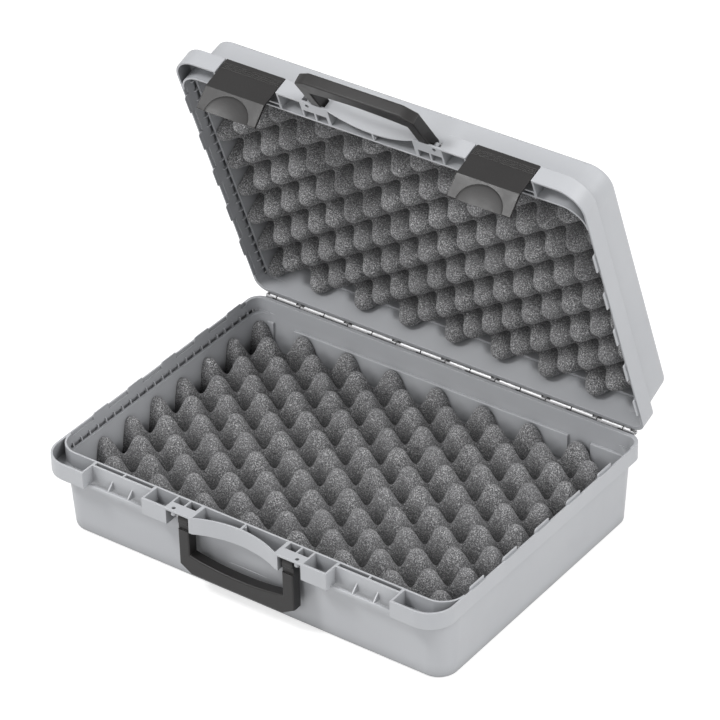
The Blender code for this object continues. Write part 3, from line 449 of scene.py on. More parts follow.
def cut_handle_bay(up, group):
    scoop = [(ARC_END, -OVERRUN), (-ARC_END, -OVERRUN)] + sagging_arc(ARC_END, 0.0, ARC_SAGITTA)
    cut_plan("finger_arc", scoop, up, -OVERRUN, BAND_HEIGHT + BITE, group)
    back_arc = sagging_arc(ARC_END - ARC_WALL, ARC_WALL, ARC_SAGITTA)
    half_rib = PARTITION / 2
    right_half = [point for point in back_arc if point[0] > half_rib]
    pocket = [(half_rib, ARC_WALL + ARC_SAGITTA)] + right_half
    pocket += [(ARC_END - ARC_WALL, POCKET_BACK), (half_rib, POCKET_BACK)]
    arm_side = ARC_END + ARM_WEB
    arm_bay = box_outline(arm_side, -OVERRUN, HANDLE_BAY, RECESS_WALL_FACE)
    middle = (arm_side + HANDLE_BAY) / 2
    holes = [(arm_side, middle - PARTITION / 2), (middle + PARTITION / 2, HANDLE_BAY)]
    low, high = -up * OVERRUN, up * (PIVOT_PLATE + OVERRUN)
    for side in (-1, 1):
        cut_plan("arc_pocket", mirrored(pocket, side), up, -OVERRUN, POCKET_FLOOR, group)
        cut_plan("arm_bay", mirrored(arm_bay, side), up, PIVOT_PLATE, BAND_HEIGHT + BITE, group)
        for near, far in holes:
            hole = mirrored(box_outline(near, PIVOT_PLATE_DEPTH, far, POCKET_BACK), side)
            cut_plan("plate_window", hole, up, -OVERRUN, POCKET_FLOOR, group)
        x = side * (HANDLE_BAY - PLATE_HOLE_IN)
        rod("plate_hole", (x, PLATE_HOLE_Y, low), (x, PLATE_HOLE_Y, high), 0.0019, group, 24)
        ends = [(side * x, HANDLE_Y, up * HANDLE_Z) for x in (ARC_END, HANDLE_BAY + PARTITION * 0.8)]
        rod("handle_pin_hole", *ends, 0.0023, group, 24)


def cut_finger_recess(up, front_inset, group):
    end = ARC_END - 0.0012
    outline = [(end, front_inset - OVERRUN), (-end, front_inset - OVERRUN)]
    outline += sagging_arc(end, front_inset, 0.0026)
    cut_plan("finger_recess", outline, up, BAND_HEIGHT + BITE, 0.050, group)


# Ribs and tabs along the sides
RIB_COUNT = 23
RIB_FIRST = 0.0432
RIB_PITCH = 0.012
RIB_LAST = RIB_FIRST + RIB_PITCH * (RIB_COUNT - 1)
RIB_THICKNESS = 0.0014
RIB_SLOT = 0.0016
TAB_COUNT = 5
TAB_PITCH = 0.0504
TAB_LENGTH = 0.022
TAB_HEIGHT = 0.003


def tab_starts(staggered):
    first = 0.051 if staggered else 0.0755
    return [first + TAB_PITCH * i for i in range(TAB_COUNT)]


def cut_rim_gaps(up, staggered_side, group):
    for side in (-1, 1):
        starts = tab_starts(side == staggered_side)
        lows = [RIB_FIRST] + [start + TAB_LENGTH for start in starts]
        highs = starts + [RIB_LAST]
        for low, high in zip(lows, highs):
            outline = mirrored(box_outline(RIM_FACE - BITE, low, RIM_FACE + RIM_STRIP, high), side)
            cut_plan("rim_gap", outline, up, -OVERRUN, TAB_HEIGHT + 0.0004, group, 0.0)


def add_tabs(up, staggered_side, group):
    inner = RIM_FACE + 0.00015
    outer = RIM_FACE + RIM_STRIP - FIT
    for side in (-1, 1):
        low, high = sorted((side * inner, side * outer))
        for start in tab_starts(side == staggered_side):
            start += 0.00015
            end = start + TAB_LENGTH - FIT
            top = arc((start + 0.0025, TAB_HEIGHT - 0.0025), 0.0025, 180, 90, 8)
            top += arc((end - 0.0006, TAB_HEIGHT - 0.0006), 0.0006, 90, 0, 3)
            outline = [(start, -0.002)] + top + [(end, -0.002)]
            slab("tab", [(y, -up * z) for y, z in outline], low, high, group, "x", 0.0003, 2)


def add_side_ribs(up, group):
    for side in (-1, 1):
        wall, ledge = side * (RIM_FACE + RIB_SLOT + BITE / 2), side * (BODY_SIDE - BITE)
        crest = side * (RIM_FACE - 0.0014)
        outline = [
            (up * (LEDGE_DEPTH - 0.0052), wall),
            (up * (GROOVE_FLOOR + BITE / 2), wall),
            (up * (GROOVE_FLOOR + BITE / 2), ledge),
            (up * (LEDGE_DEPTH - 0.0004), ledge),
            (up * (LEDGE_DEPTH - 0.0040), crest),
        ]
        for i in range(RIB_COUNT):
            y = RIB_FIRST + RIB_PITCH * i
            slab("side_rib", outline, y - RIB_THICKNESS / 2, y + RIB_THICKNESS / 2, group, "y")


LATCH_BAR_FRONT = 0.0062
LATCH_BAR_BACK = 0.0094
LATCH_BAR_TOP = 0.0162
LATCH_BAR_BOTTOM = 0.0196


def add_latch_bar(up, group):
    """The bar that the latch hooks under, with rounded edges, and its thin gussets."""
    for side in (-1, 1):
        left, right = sorted((side * (LATCH_BAY_INNER - BITE), side * (LATCH_BAY_OUTER + BITE)))
        low, high = sorted((up * LATCH_BAR_TOP, up * LATCH_BAR_BOTTOM))
        bar = rounded_polygon(box_outline(LATCH_BAR_FRONT, low, LATCH_BAR_BACK, high), 0.0009, 5)
        slab("latch_bar", bar, left, right, group, "x")
        width = LATCH_BAY_OUTER - LATCH_BAY_INNER
        outline = [
            (RECESS_WALL_FACE + BITE, up * 0.0088),
            (LATCH_BAR_FRONT + BITE * 2, up * LATCH_BAR_TOP),
            (LATCH_BAR_FRONT + BITE * 2, up * 0.0178),
            (RECESS_WALL_FACE + BITE, up * 0.0178),
        ]
        for i in (1, 2):
            x = side * (LATCH_BAY_INNER + width * i / 3)
            slab("gusset", outline, x - 0.0007, x + 0.0007, group, "x")


def add_back_panels(up, top, height, draft, group):
    deep = min(height - FLOOR + BITE, 0.050)
    taper = draft / (height - POCKET_FLOOR)
    front = CAVITY_BACK - 0.003
    for left, right in ((-0.202, -0.195), (-0.170, 0.142), (0.167, 0.202)):
        levels = [(top, 0.0012), (top + 0.0004, 0.0004), (top + 0.0012, 0.0), (deep, 0.0)]
        rings = []
        for depth, inset in levels:
            back = CAVITY_BACK + BITE - taper * (depth - POCKET_FLOOR)
            rings.append(placed(box_outline(left, front + inset, right, back), up * depth, "z"))
        loft("back_panel", rings, group)


def add_small_parts(up, group):
    low, high = sorted((up * 0.0012, up * (POCKET_FLOOR + BITE)))
    y = POCKET_BACK - 0.0024
    rod("rib_boss", (0.0, y, low), (0.0, y, high), 0.0024, group, 28, 0.0004)
    # A rounded bridge between the two windows behind each pivot plate
    for side in (-1, 1):
        x = side * (ARC_END + ARM_WEB + HANDLE_BAY) / 2
        ends = [(x, y, up * 0.0014) for y in (PIVOT_PLATE_DEPTH - BITE, POCKET_BACK + BITE)]
        rod("window_bridge", *ends, 0.0011, group, 20)


def add_screw_bosses(up, group):
    """A blind tube under each pivot plate's hole."""
    for side in (-1, 1):
        x = side * (HANDLE_BAY - PLATE_HOLE_IN)
        start, end = [(x, PLATE_HOLE_Y, up * z) for z in (0.0016, 0.0067)]
        tube(start, end, [(0.0, 0.0023), (0.0, 0.0029), (0.0051, 0.0029), (0.0051, 0.0023)], group)
        low, high = [(x, PLATE_HOLE_Y, up * z) for z in (0.0060, 0.0073)]
        rod("boss_end", low, high, 0.0026, group, 28)


def build_shell(name, up, height, front_inset, draft, staggered_side, panel_top):
    shell = shell_blank(name, up, height, front_inset, draft)
    band, cuts, adds = tool_group("band"), tool_group("cuts"), tool_group("adds")
    rim_band(up, band)
    cut_main_cavity(up, height, draft, cuts)
    cut_front_pockets(up, cuts)
    cut_handle_bay(up, cuts)
    cut_rim_gaps(up, staggered_side, cuts)
    for i in range(RIVET_COUNT):
        x = RIVET_PITCH * (i - 2)
        ends = [(x, CASE_DEPTH + OVERRUN, up * 0.0085), (x, CASE_DEPTH - 0.0033, up * 0.0085)]
        rod("rivet_hole", *ends, 0.0018, cuts, 20)
    add_tabs(up, staggered_side, adds)
    add_side_ribs(up, adds)
    add_back_panels(up, panel_top, height, draft, adds)
    add_small_parts(up, adds)
    add_screw_bosses(up, adds)
    if up == BASE:
        cut_finger_recess(up, front_inset, cuts)
        add_latch_bar(up, adds)
    else:
        for side in (-1, 1):
            xs = (side * (LATCH_BAY_INNER - PARTITION * 0.8), side * (LATCH_BAY_OUTER + PARTITION * 0.8))
            rod("latch_pin_hole", *[(x, LATCH_Y, up * LATCH_Z) for x in xs], 0.0018, cuts, 20)
    boolean(shell, "UNION", band)
    boolean(shell, "DIFFERENCE", cuts)
    boolean(shell, "UNION", adds)
    return bake(shell, (band, cuts, adds))


# Foam
FOAM_PITCH_X = 0.026
FOAM_PITCH_Y = 0.0196
FOAM_BACK_ROW = CASE_DEPTH - 0.013
FOAM_CELL = 0.0013
FOAM_ROUNDNESS = 0.8


def foam_wave(x, y):
    """From -1 in the hollows to 1 on the peaks, which stand in a quincunx."""
    shift_x = noise.noise(Vector((x * 14, y * 14, 3.7))) * 0.0011
    shift_y = noise.noise(Vector((x * 14, y * 14, 9.2))) * 0.0011
    x, y = x + shift_x, y + shift_y
    return cos(pi * x / FOAM_PITCH_X) * cos(pi * (y - FOAM_BACK_ROW) / FOAM_PITCH_Y)


def foam_depth(x, y, tip, amplitude):
    """How far the cut surface lies behind the parting plane, with rounded and slightly uneven peaks."""
    wave = foam_wave(x, y)
    wave += FOAM_ROUNDNESS * (sin(pi / 2 * wave) - wave)
    uneven = noise.noise(Vector((x * 23, y * 23, 0.0))) * 0.0012
    pores = noise.noise(Vector((x * 620, y * 620, 1.3))) * 0.00035
    return tip + amplitude * (1 - wave) / 2 + uneven * (1 + wave) / 2 + pores


def build_foam(name, up, height, draft, tip, amplitude):
    front = FRONT_BLOCK + 0.0005
    back = CAVITY_BACK - 0.003 - 0.0005
    floor = height - FLOOR - FIT
    columns = int(2 * CAVITY_SIDE / FOAM_CELL)
    rows = int((back - front) / FOAM_CELL)
    taper = draft / (height - POCKET_FLOOR)
    plan = (CAVITY_SIDE, FRONT_BLOCK, CAVITY_BACK, INNER_CORNER, BODY_BACK_RADIUS - WALL)

    def half_width(y, inset):
        """The pad's half width at y, inside the rounded corners."""
        side = plan[0] - inset
        corners = ((plan[3] - inset, y - plan[1] - inset), (plan[4] - inset, plan[2] - inset - y))
        for radius, distance in corners:
            if distance < radius:
                reach = sqrt(max(radius**2 - (radius - distance) ** 2, 0.0))
                side = min(side, plan[0] - inset - radius + reach)
        return side

    skin = bmesh.new()
    hollow = skin.verts.layers.float.new("hollow")
    top, low = [], []
    for j in range(rows + 1):
        y = front + (back - front) * j / rows
        top.append([])
        low.append([])
        for i in range(columns + 1):
            share = 2 * i / columns - 1
            flat = 0.0005 + taper * (floor - POCKET_FLOOR)
            x = share * CAVITY_SIDE
            depth = min(foam_depth(x, y, tip, amplitude), floor - 0.001)
            inset = 0.0005 + taper * max(depth - POCKET_FLOOR, 0.0)
            x = share * half_width(y, inset)
            depth = min(foam_depth(x, y, tip, amplitude), floor - 0.001)
            top[-1].append(skin.verts.new((x, y, up * depth)))
            # How deep in a hollow each point lies; the foam's material darkens by it as painted shade
            top[-1][-1][hollow] = min(max((depth - tip) / amplitude, 0.0), 1.0)
            low[-1].append(skin.verts.new((share * half_width(y, flat), y, up * floor)))
    for layer in (top, low):
        for a, b in zip(layer, layer[1:]):
            for i in range(columns):
                skin.faces.new((a[i], a[i + 1], b[i + 1], b[i]))
    edge = [(0, i) for i in range(columns)] + [(j, columns) for j in range(rows)]
    edge += [(rows, i) for i in range(columns, 0, -1)] + [(j, 0) for j in range(rows, 0, -1)]
    for (j, i), (q, p) in zip(edge, edge[1:] + edge[:1]):
        skin.faces.new((top[j][i], top[q][p], low[q][p], low[j][i]))
    pad = mesh_object(name, skin)
    pad.data.shade_smooth()
    pad.data.set_sharp_from_angle(angle=radians(60))
    return pad


# Hinge
KNUCKLE_COUNT = 16
KNUCKLE_PITCH = 2 * 0.209 / 14.902
HINGE_END = 0.209
KNUCKLE_RADIUS = 0.003
KNUCKLE_GAP = 0.0008
KNUCKLE_WINDOW = 0.0045
PIN_RADIUS = 0.0013
LEAF_FACE = CASE_DEPTH + FIT


def knuckle_edges():
    inner = [(i - 7) * KNUCKLE_PITCH for i in range(KNUCKLE_COUNT - 1)]
    return [-HINGE_END] + inner + [HINGE_END]


def build_leaf(name, up, first):
    """A rolled leaf: a strip with knuckles curled round the pin, each with its open seam."""
    low, high = sorted((up * 0.0028, up * 0.0145))
    leaf = block(name, (-HINGE_END, LEAF_FACE, low), (HINGE_END, LEAF_FACE + 0.001, high), None, 0.0003)
    adds, cuts = tool_group("adds"), tool_group("cuts")
    edges = knuckle_edges()
    for i in range(first, KNUCKLE_COUNT, 2):
        left, right = edges[i] + KNUCKLE_GAP / 2, edges[i + 1] - KNUCKLE_GAP / 2
        rod("knuckle", (left, HINGE_Y, 0.0), (right, HINGE_Y, 0.0), KNUCKLE_RADIUS, adds, 40, 0.00035)
        stem = sorted((-up * BITE / 2, up * 0.0033))
        block("stem", (left, LEAF_FACE, stem[0]), (right, LEAF_FACE + 0.001, stem[1]), adds)
        seam = sorted((up * 0.0012, up * 0.0016))
        block("seam", (left - BITE, HINGE_Y, seam[0]), (right + BITE, HINGE_Y + 0.004, seam[1]), cuts)
        window, outside = KNUCKLE_WINDOW, HINGE_Y - 0.0034
        block("upper_window", (left - BITE, outside, 0.0017), (left + window, HINGE_Y + 0.0008, 0.0034), cuts)
        near, far = (right - window, outside, -0.0017), (right + BITE, HINGE_Y - 0.0017, 0.0005)
        block("lower_window", near, far, cuts)
    over = HINGE_END + OVERRUN
    rod("pin_bore", (-over, HINGE_Y, 0.0), (over, HINGE_Y, 0.0), 0.00165, cuts, 24)
    for i in range(5):
        x = 0.09 * (i - 2)
        ends = [(x, y, up * 0.0085) for y in (LEAF_FACE - OVERRUN, LEAF_FACE + 0.003)]
        rod("rivet_hole", *ends, 0.0018, cuts, 20)
    boolean(leaf, "UNION", adds)
    boolean(leaf, "DIFFERENCE", cuts)
    return bake(leaf, (adds, cuts))


def build_rivet(name, x, up):
    under = LEAF_FACE + 0.001 + FIT
    start = (x, CASE_DEPTH - 0.003, up * 0.0085)
    end = (x, under, up * 0.0085)
    run = end[1] - start[1]
    dome = [(run + 0.0009 * sin(radians(a)), 0.003 * cos(radians(a)) ** 0.8) for a in range(0, 90, 10)]
    profile = [(0.0, 0.0015), (run, 0.0015)] + dome + [(run + 0.0009, 0.0001)]
    return turned(name, start, end, profile, None, 32)


# Latches

LATCH_GAP = 0.0013
LATCH_FACE = 0.0005
LATCH_THICKNESS = 0.0026
LATCH_TOP = 0.0184
LATCH_BEND = 0.016
LATCH_FLAP_BACK = 0.0106
LATCH_FLAP_LOW = 0.0358
LATCH_BARREL_RADIUS = 0.0040
HOOK_FRONT = 0.0053
HOOK_BACK = 0.0088
HOOK_THICKNESS = 0.0024
HOOK_HALF_LENGTH = 0.022
RIDGE_COUNT = 4
RIDGE_FIRST = 0.0128
RIDGE_PITCH = 0.0019
RIDGE_HEIGHT = 0.00045
DISH_ACROSS = 0.0240
DISH_UP = 0.0198


def build_latch(name, side):
    """A flap with a bend, a hook behind it, fine ridges and a smooth thumb dish."""
    left, right = sorted((side * (LATCH_BAY_INNER + LATCH_GAP), side * (LATCH_BAY_OUTER - LATCH_GAP)))
    middle = (left + right) / 2
    slope = Vector((LATCH_FLAP_BACK - LATCH_FACE, LATCH_BEND - LATCH_FLAP_LOW)).normalized()
    inward = Vector((-slope.y, slope.x)) * LATCH_THICKNESS
    outline = [
        (LATCH_FACE, LATCH_TOP),
        (LATCH_FACE, -LATCH_BEND),
        (LATCH_FLAP_BACK, -LATCH_FLAP_LOW),
        (LATCH_FLAP_BACK + inward.x, -LATCH_FLAP_LOW + inward.y),
        (LATCH_FACE + LATCH_THICKNESS, -LATCH_BEND + inward.y),
        (LATCH_FACE + LATCH_THICKNESS, LATCH_TOP),
    ]
    # The rims' rounding stays below the corners' own, or the end faces fold over
    latch = slab(name, rounded_polygon(outline, 0.0008, 4), left, right, None, "x", 0.0004, 4)
    adds, cuts = tool_group("adds"), tool_group("cuts")
    near, far = (left, LATCH_Y, LATCH_Z), (right, LATCH_Y, LATCH_Z)
    rod("barrel", near, far, LATCH_BARREL_RADIUS, adds, 32, 0.0004)
    top = LATCH_BAR_BOTTOM + FIT * 2
    low = top + HOOK_THICKNESS
    hook = [(HOOK_FRONT, -top), (HOOK_BACK, -top), (HOOK_BACK, -low), (HOOK_FRONT, -low)]
    slab("hook", hook, middle - HOOK_HALF_LENGTH, middle + HOOK_HALF_LENGTH, adds, "x")
    near, far = (left - 0.001, LATCH_Y, LATCH_Z), (right + 0.001, LATCH_Y, LATCH_Z)
    rod("pin_bore", near, far, LATCH_PIN_RADIUS + FIT, cuts, 24)
    root, crest = LATCH_FACE + BITE, LATCH_FACE - RIDGE_HEIGHT
    for i in range(RIDGE_COUNT):
        z = RIDGE_FIRST - RIDGE_PITCH * i
        ridge = [(root, z), (root, z + 0.0011), (crest, z + 0.0008), (crest, z + 0.0003)]
        slab("ridge", ridge, left + 0.0006, right - 0.0006, adds, "x")
    add_dish(middle, Vector((LATCH_FLAP_BACK, -LATCH_FLAP_LOW)), slope, cuts)
    boolean(latch, "UNION", adds)
    boolean(latch, "DIFFERENCE", cuts)
    return bake(latch, (adds, cuts))


def add_dish(middle, foot, slope, group):
    """The thumb dish: an arch with a crisp rim, hollowed like a shallow bowl."""
    outward = Vector((slope.y, -slope.x))
    levels = [(0.0005, 1.004), (0.0, 1.0), (-0.00035, 0.992)]
    levels += [(-0.0005 - 0.0015 * (1 - r * r), r) for r in (0.97, 0.90, 0.82, 0.72, 0.60, 0.46, 0.30, 0.14)]
    rings = []
    for depth, reach in levels:
        ring = []
        for i in range(96):
            a = 2 * pi * i / 96
            point = foot - slope * (DISH_UP * reach * sin(a)) + outward * depth
            ring.append((middle + DISH_ACROSS * reach * cos(a), point.x, point.y))
        rings.append(ring)
    loft("dish", rings, group)


# Handles

HANDLE_HALF_WIDTH = 0.0635
HANDLE_ARM = 0.012
HANDLE_REACH = 0.057
HANDLE_DEPTH = 0.0114


def build_handle(name, up):
    """A bar on two arms with cut corners, whose inner edge is a shallow arch."""
    outer, reach, depth = HANDLE_HALF_WIDTH, HANDLE_REACH, HANDLE_DEPTH
    inner = outer - HANDLE_ARM
    front = HANDLE_Y - depth / 2
    right = [(0.0, inner), (0.0, outer), (0.008 - reach, outer), (-reach, outer - 0.013)]
    left = [(z, -x) for z, x in reversed(right)]
    arch = [(-z, x) for x, z in sagging_arc(inner, 0.0362, 0.005, 28)]
    outline = [(up * (HANDLE_Z - z), x) for z, x in right + left + arch]
    handle = slab(name, outline, front, front + depth, None, "y", 0.0016, 5)
    adds, cuts = tool_group("adds"), tool_group("cuts")
    height = up * HANDLE_Z
    for side in (-1, 1):
        ends = [(side * x, HANDLE_Y, height) for x in (inner + 0.0004, outer - 0.0004)]
        rod("eye", *ends, depth / 2, adds, 48, 0.0006)
        ends = [(side * x, HANDLE_Y, height) for x in (ARC_END, HANDLE_BAY)]
        rod("pin_bore", *ends, HANDLE_PIN_RADIUS + FIT, cuts, 24)
        low, high = sorted((up * (HANDLE_Z + 0.0038), up * (HANDLE_Z + 0.0107)))
        near, far = sorted((side * (inner - OVERRUN), side * (outer + OVERRUN)))
        block("arm_relief", (near, front - OVERRUN, low), (far, front + 0.0017, high), cuts)
    boolean(handle, "UNION", adds)
    boolean(handle, "DIFFERENCE", cuts)
    return bake(handle, (adds, cuts))


# Materials


class Nodes:
    """A short way to write a material's nodes."""

    def __init__(self, name):
        self.made = bpy.data.materials.new(name)
        self.made.use_nodes = True
        self.tree = self.made.node_tree
        self.shader = self.tree.nodes["Principled BSDF"]
        self.place = self.add("ShaderNodeTexCoord").outputs["Object"]

    def add(self, kind, **settings):
        node = self.tree.nodes.new(kind)
        for key, value in settings.items():
            setattr(node, key, value)
        return node

    def link(self, out, socket):
        self.tree.links.new(out, socket)

    def noise(self, scale, detail=2.0, roughness=0.5, stretch=None):
        node = self.add("ShaderNodeTexNoise")
        node.inputs["Scale"].default_value = scale
        node.inputs["Detail"].default_value = detail
        node.inputs["Roughness"].default_value = roughness
        place = self.place
        if stretch:
            move = self.add("ShaderNodeMapping")
            move.inputs["Scale"].default_value = stretch
            self.link(place, move.inputs["Vector"])
            place = move.outputs["Vector"]
        self.link(place, node.inputs["Vector"])
        return node.outputs["Fac"]

    def span(self, value, low, high, to_low, to_high):
        node = self.add("ShaderNodeMapRange")
        for key, number in (("From Min", low), ("From Max", high), ("To Min", to_low), ("To Max", to_high)):
            node.inputs[key].default_value = number
        self.link(value, node.inputs["Value"])
        return node.outputs["Result"]

    def sum(self, a, b, kind="ADD"):
        node = self.add("ShaderNodeMath", operation=kind)
        self.link(a, node.inputs[0])
        if isinstance(b, float):
            node.inputs[1].default_value = b
        else:
            self.link(b, node.inputs[1])
        return node.outputs[0]

    def mix(self, share, a, b):
        node = self.add("ShaderNodeMix", data_type="RGBA")
        self.link(share, node.inputs["Factor"])
        for value, socket in ((a, node.inputs["A"]), (b, node.inputs["B"])):
            if isinstance(value, tuple):
                socket.default_value = (*value, 1.0)
            else:
                self.link(value, socket)
        return node.outputs["Result"]

    def edges(self, width):
        """One along convex and concave edges, zero on flats: the mask for painted edge highlights, given with
        the rounded normal.
        """
        rounded = self.add("ShaderNodeBevel", samples=4)
        rounded.inputs["Radius"].default_value = width
        flat = self.add("ShaderNodeNewGeometry").outputs["Normal"]
        dot = self.add("ShaderNodeVectorMath", operation="DOT_PRODUCT")
        self.link(rounded.outputs["Normal"], dot.inputs[0])
        self.link(flat, dot.inputs[1])
        return self.span(dot.outputs["Value"], 1.0, 0.75, 0.0, 1.0), rounded.outputs["Normal"]

    def crevice_shade_mask(self, reach):
        """Zero deep in a pocket or groove, one on open faces: the mask for painted shade in crevices."""
        node = self.add("ShaderNodeAmbientOcclusion", samples=6)
        node.inputs["Distance"].default_value = reach
        return self.span(node.outputs["AO"], 0.15, 0.92, 0.0, 1.0)

    def bump(self, height, distance, strength=1.0, normal=None):
        node = self.add("ShaderNodeBump")
        node.inputs["Strength"].default_value = strength
        node.inputs["Distance"].default_value = distance
        self.link(height, node.inputs["Height"])
        if normal:
            self.link(normal, node.inputs["Normal"])
        return node.outputs["Normal"]


# How dark the painted shade in crevices gets, as a share of the plastic's dark tone
CREVICE_SHADE = 0.45


def moulded_plastic(name, colour, light, dark, roughness, grain, edge, gloss):
    """Fine spark-eroded grain, a faint drift of tone, painted shade in crevices and painted highlights along
    the edges.
    """
    n = Nodes(name)
    drift = n.noise(9.0, 3.0, 0.55)
    specks = n.noise(2400.0, 1.0, 0.6)
    body = n.mix(n.span(drift, 0.35, 0.65, 0.0, 1.0), dark, colour)
    body = n.mix(n.span(specks, 0.62, 0.80, 0.0, 0.25), body, light)
    # Painted shade: deep in pockets, grooves and crevices the colour goes towards a darker copy of the dark
    # tone
    body = n.mix(n.crevice_shade_mask(0.016), tuple(c * CREVICE_SHADE for c in dark), body)
    # Painted highlight: convex and concave edges are lightened towards the lighter tone, by the edge share
    edge_highlight_mask, rounded = n.edges(0.0004)
    body = n.mix(n.sum(edge_highlight_mask, edge, "MULTIPLY"), body, light)
    n.shader.inputs["Specular IOR Level"].default_value = gloss
    n.link(body, n.shader.inputs["Base Color"])
    rub = n.noise(60.0, 4.0, 0.6)
    rough = n.span(rub, 0.3, 0.7, roughness - 0.04, roughness + 0.05)
    n.link(rough, n.shader.inputs["Roughness"])
    fine = n.noise(1500.0, 2.0, 0.6)
    n.link(n.bump(fine, grain, 0.6, rounded), n.shader.inputs["Normal"])
    return n.made


def bright_steel(name):
    """Rolled strip: fine lines along the hinge, a few darker stains, edges lightened as a painted highlight
    and painted shade in crevices.
    """
    n = Nodes(name)
    lines = n.noise(900.0, 3.0, 0.6, (0.03, 1.0, 1.0))
    stains = n.noise(70.0, 4.0, 0.6)
    body = n.mix(n.span(stains, 0.45, 0.75, 0.0, 1.0), (0.56, 0.56, 0.57), (0.47, 0.47, 0.48))
    edge_highlight_mask, rounded = n.edges(0.0003)
    # Painted highlight: the edges are lightened towards a pale steel colour
    body = n.mix(n.sum(edge_highlight_mask, 0.6, "MULTIPLY"), body, (0.74, 0.74, 0.76))
    # Painted shade: deep in the knuckles' gaps and seams the colour goes towards near black
    body = n.mix(n.crevice_shade_mask(0.004), (0.02, 0.02, 0.02), body)
    n.link(body, n.shader.inputs["Base Color"])
    n.shader.inputs["Metallic"].default_value = 0.55
    n.link(n.span(lines, 0.3, 0.7, 0.34, 0.48), n.shader.inputs["Roughness"])
    n.link(n.bump(lines, 0.00003, 0.5, rounded), n.shader.inputs["Normal"])
    return n.made


def open_foam(name):
    """Open-cell foam: light strands and dark pores at about a millimetre, with painted shade that darkens the
    hollows.
    """
    n = Nodes(name)
    cells = n.noise(850.0, 3.0, 0.75)
    pores = n.add("ShaderNodeTexVoronoi")
    pores.inputs["Scale"].default_value = 950.0
    n.link(n.place, pores.inputs["Vector"])
    shade = n.add("ShaderNodeValToRGB")
    stops = shade.color_ramp.elements
    stops[0].position, stops[0].color = 0.36, (0.045, 0.045, 0.047, 1.0)
    stops[1].position, stops[1].color = 0.68, (0.80, 0.80, 0.81, 1.0)
    middle = stops.new(0.53)
    middle.color = (0.225, 0.225, 0.230, 1.0)
    n.link(cells, shade.inputs["Fac"])
    drift = n.noise(35.0, 2.0, 0.5)
    body = n.mix(n.span(drift, 0.35, 0.65, 0.0, 0.30), shade.outputs["Color"], (0.180, 0.180, 0.186))
    # Painted shade: the deeper in a hollow between the peaks, the nearer the colour goes to near black
    hollow = n.add("ShaderNodeAttribute", attribute_name="hollow").outputs["Fac"]
    body = n.mix(n.span(hollow, 0.22, 0.92, 0.0, 0.90), body, (0.025, 0.025, 0.026))
    n.link(body, n.shader.inputs["Base Color"])
    n.shader.inputs["Sheen Weight"].default_value = 0.15
    n.shader.inputs["Sheen Roughness"].default_value = 0.6
    n.link(n.span(cells, 0.3, 0.7, 0.9, 1.0), n.shader.inputs["Roughness"])
    n.shader.inputs["Specular IOR Level"].default_value = 0.15
    height = n.sum(cells, pores.outputs["Distance"])
    n.link(n.bump(height, 0.0006, 0.8), n.shader.inputs["Normal"])
    return n.made


# Each plastic's lighter tone serves both its random specks and its painted edge highlight; the third of the
# last four numbers is the highlight's strength
SILVER = moulded_plastic(
    "silver_grained_plastic",
    (0.475, 0.485, 0.505),
    (0.62, 0.63, 0.65),
    (0.455, 0.465, 0.487),
    *(0.40, 0.00006, 0.60, 0.5),
)
BLACK = moulded_plastic(
    "black_satin_plastic",
    (0.017, 0.016, 0.016),
    (0.130, 0.127, 0.124),
    (0.014, 0.013, 0.013),
    *(0.36, 0.00005, 0.85, 0.35),
)
STEEL = bright_steel("rolled_steel")
FOAM = open_foam("open_cell_foam")


def finish_piece(piece, node, body, place, paint):
    """Seats a piece on the open case in place of its CAD node."""
    piece.data.transform(place)
    piece.data.materials.clear()
    piece.data.materials.append(paint)
    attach(piece, body)
    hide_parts(node)
    return piece


def build_half(word, up, place):
    base = up == BASE
    height = BASE_HEIGHT if base else LID_HEIGHT
    inset = BASE_FRONT_INSET if base else LID_FRONT_INSET
    draft = BASE_DRAFT if base else LID_DRAFT
    staggered = 1 if base else -1
    panel_top = 0.0225 if base else 0.0285
    tip, amplitude = (0.022, 0.037) if base else (0.012, 0.030)
    shell = build_shell(word + "_shell_moulding", up, height, inset, draft, staggered, panel_top)
    finish_piece(shell, word + "_shell", word, place, SILVER)
    pad = build_foam(word + "_foam_pad", up, height, draft, tip, amplitude)
    finish_piece(pad, word + "_foam", word, place, FOAM)
    leaf = build_leaf(word + "_rolled_leaf", up, 0 if base else 1)
    finish_piece(leaf, word + "_hinge_leaf", word, place, STEEL)
    for i in range(RIVET_COUNT):
        rivet = build_rivet(f"{word}_domed_rivet_{i + 1}", RIVET_PITCH * (i - 2), up)
        smooth_round(rivet)
        finish_piece(rivet, f"{word}_hinge_rivet_{i + 1}", word, place, STEEL)
    for side, where in ((-1, "left"), (1, "right")):
        xs = (side * (ARC_END + ARM_WEB / 4), side * (HANDLE_BAY + PARTITION * 0.75))
        ends = [(x, HANDLE_Y, up * HANDLE_Z) for x in xs]
        pin = rod(f"{word}_grip_pin_{where}", *ends, HANDLE_PIN_RADIUS, None, 32, 0.0003)
        smooth_round(pin)
        finish_piece(pin, f"{word}_handle_pin_{where}", word, place, STEEL)


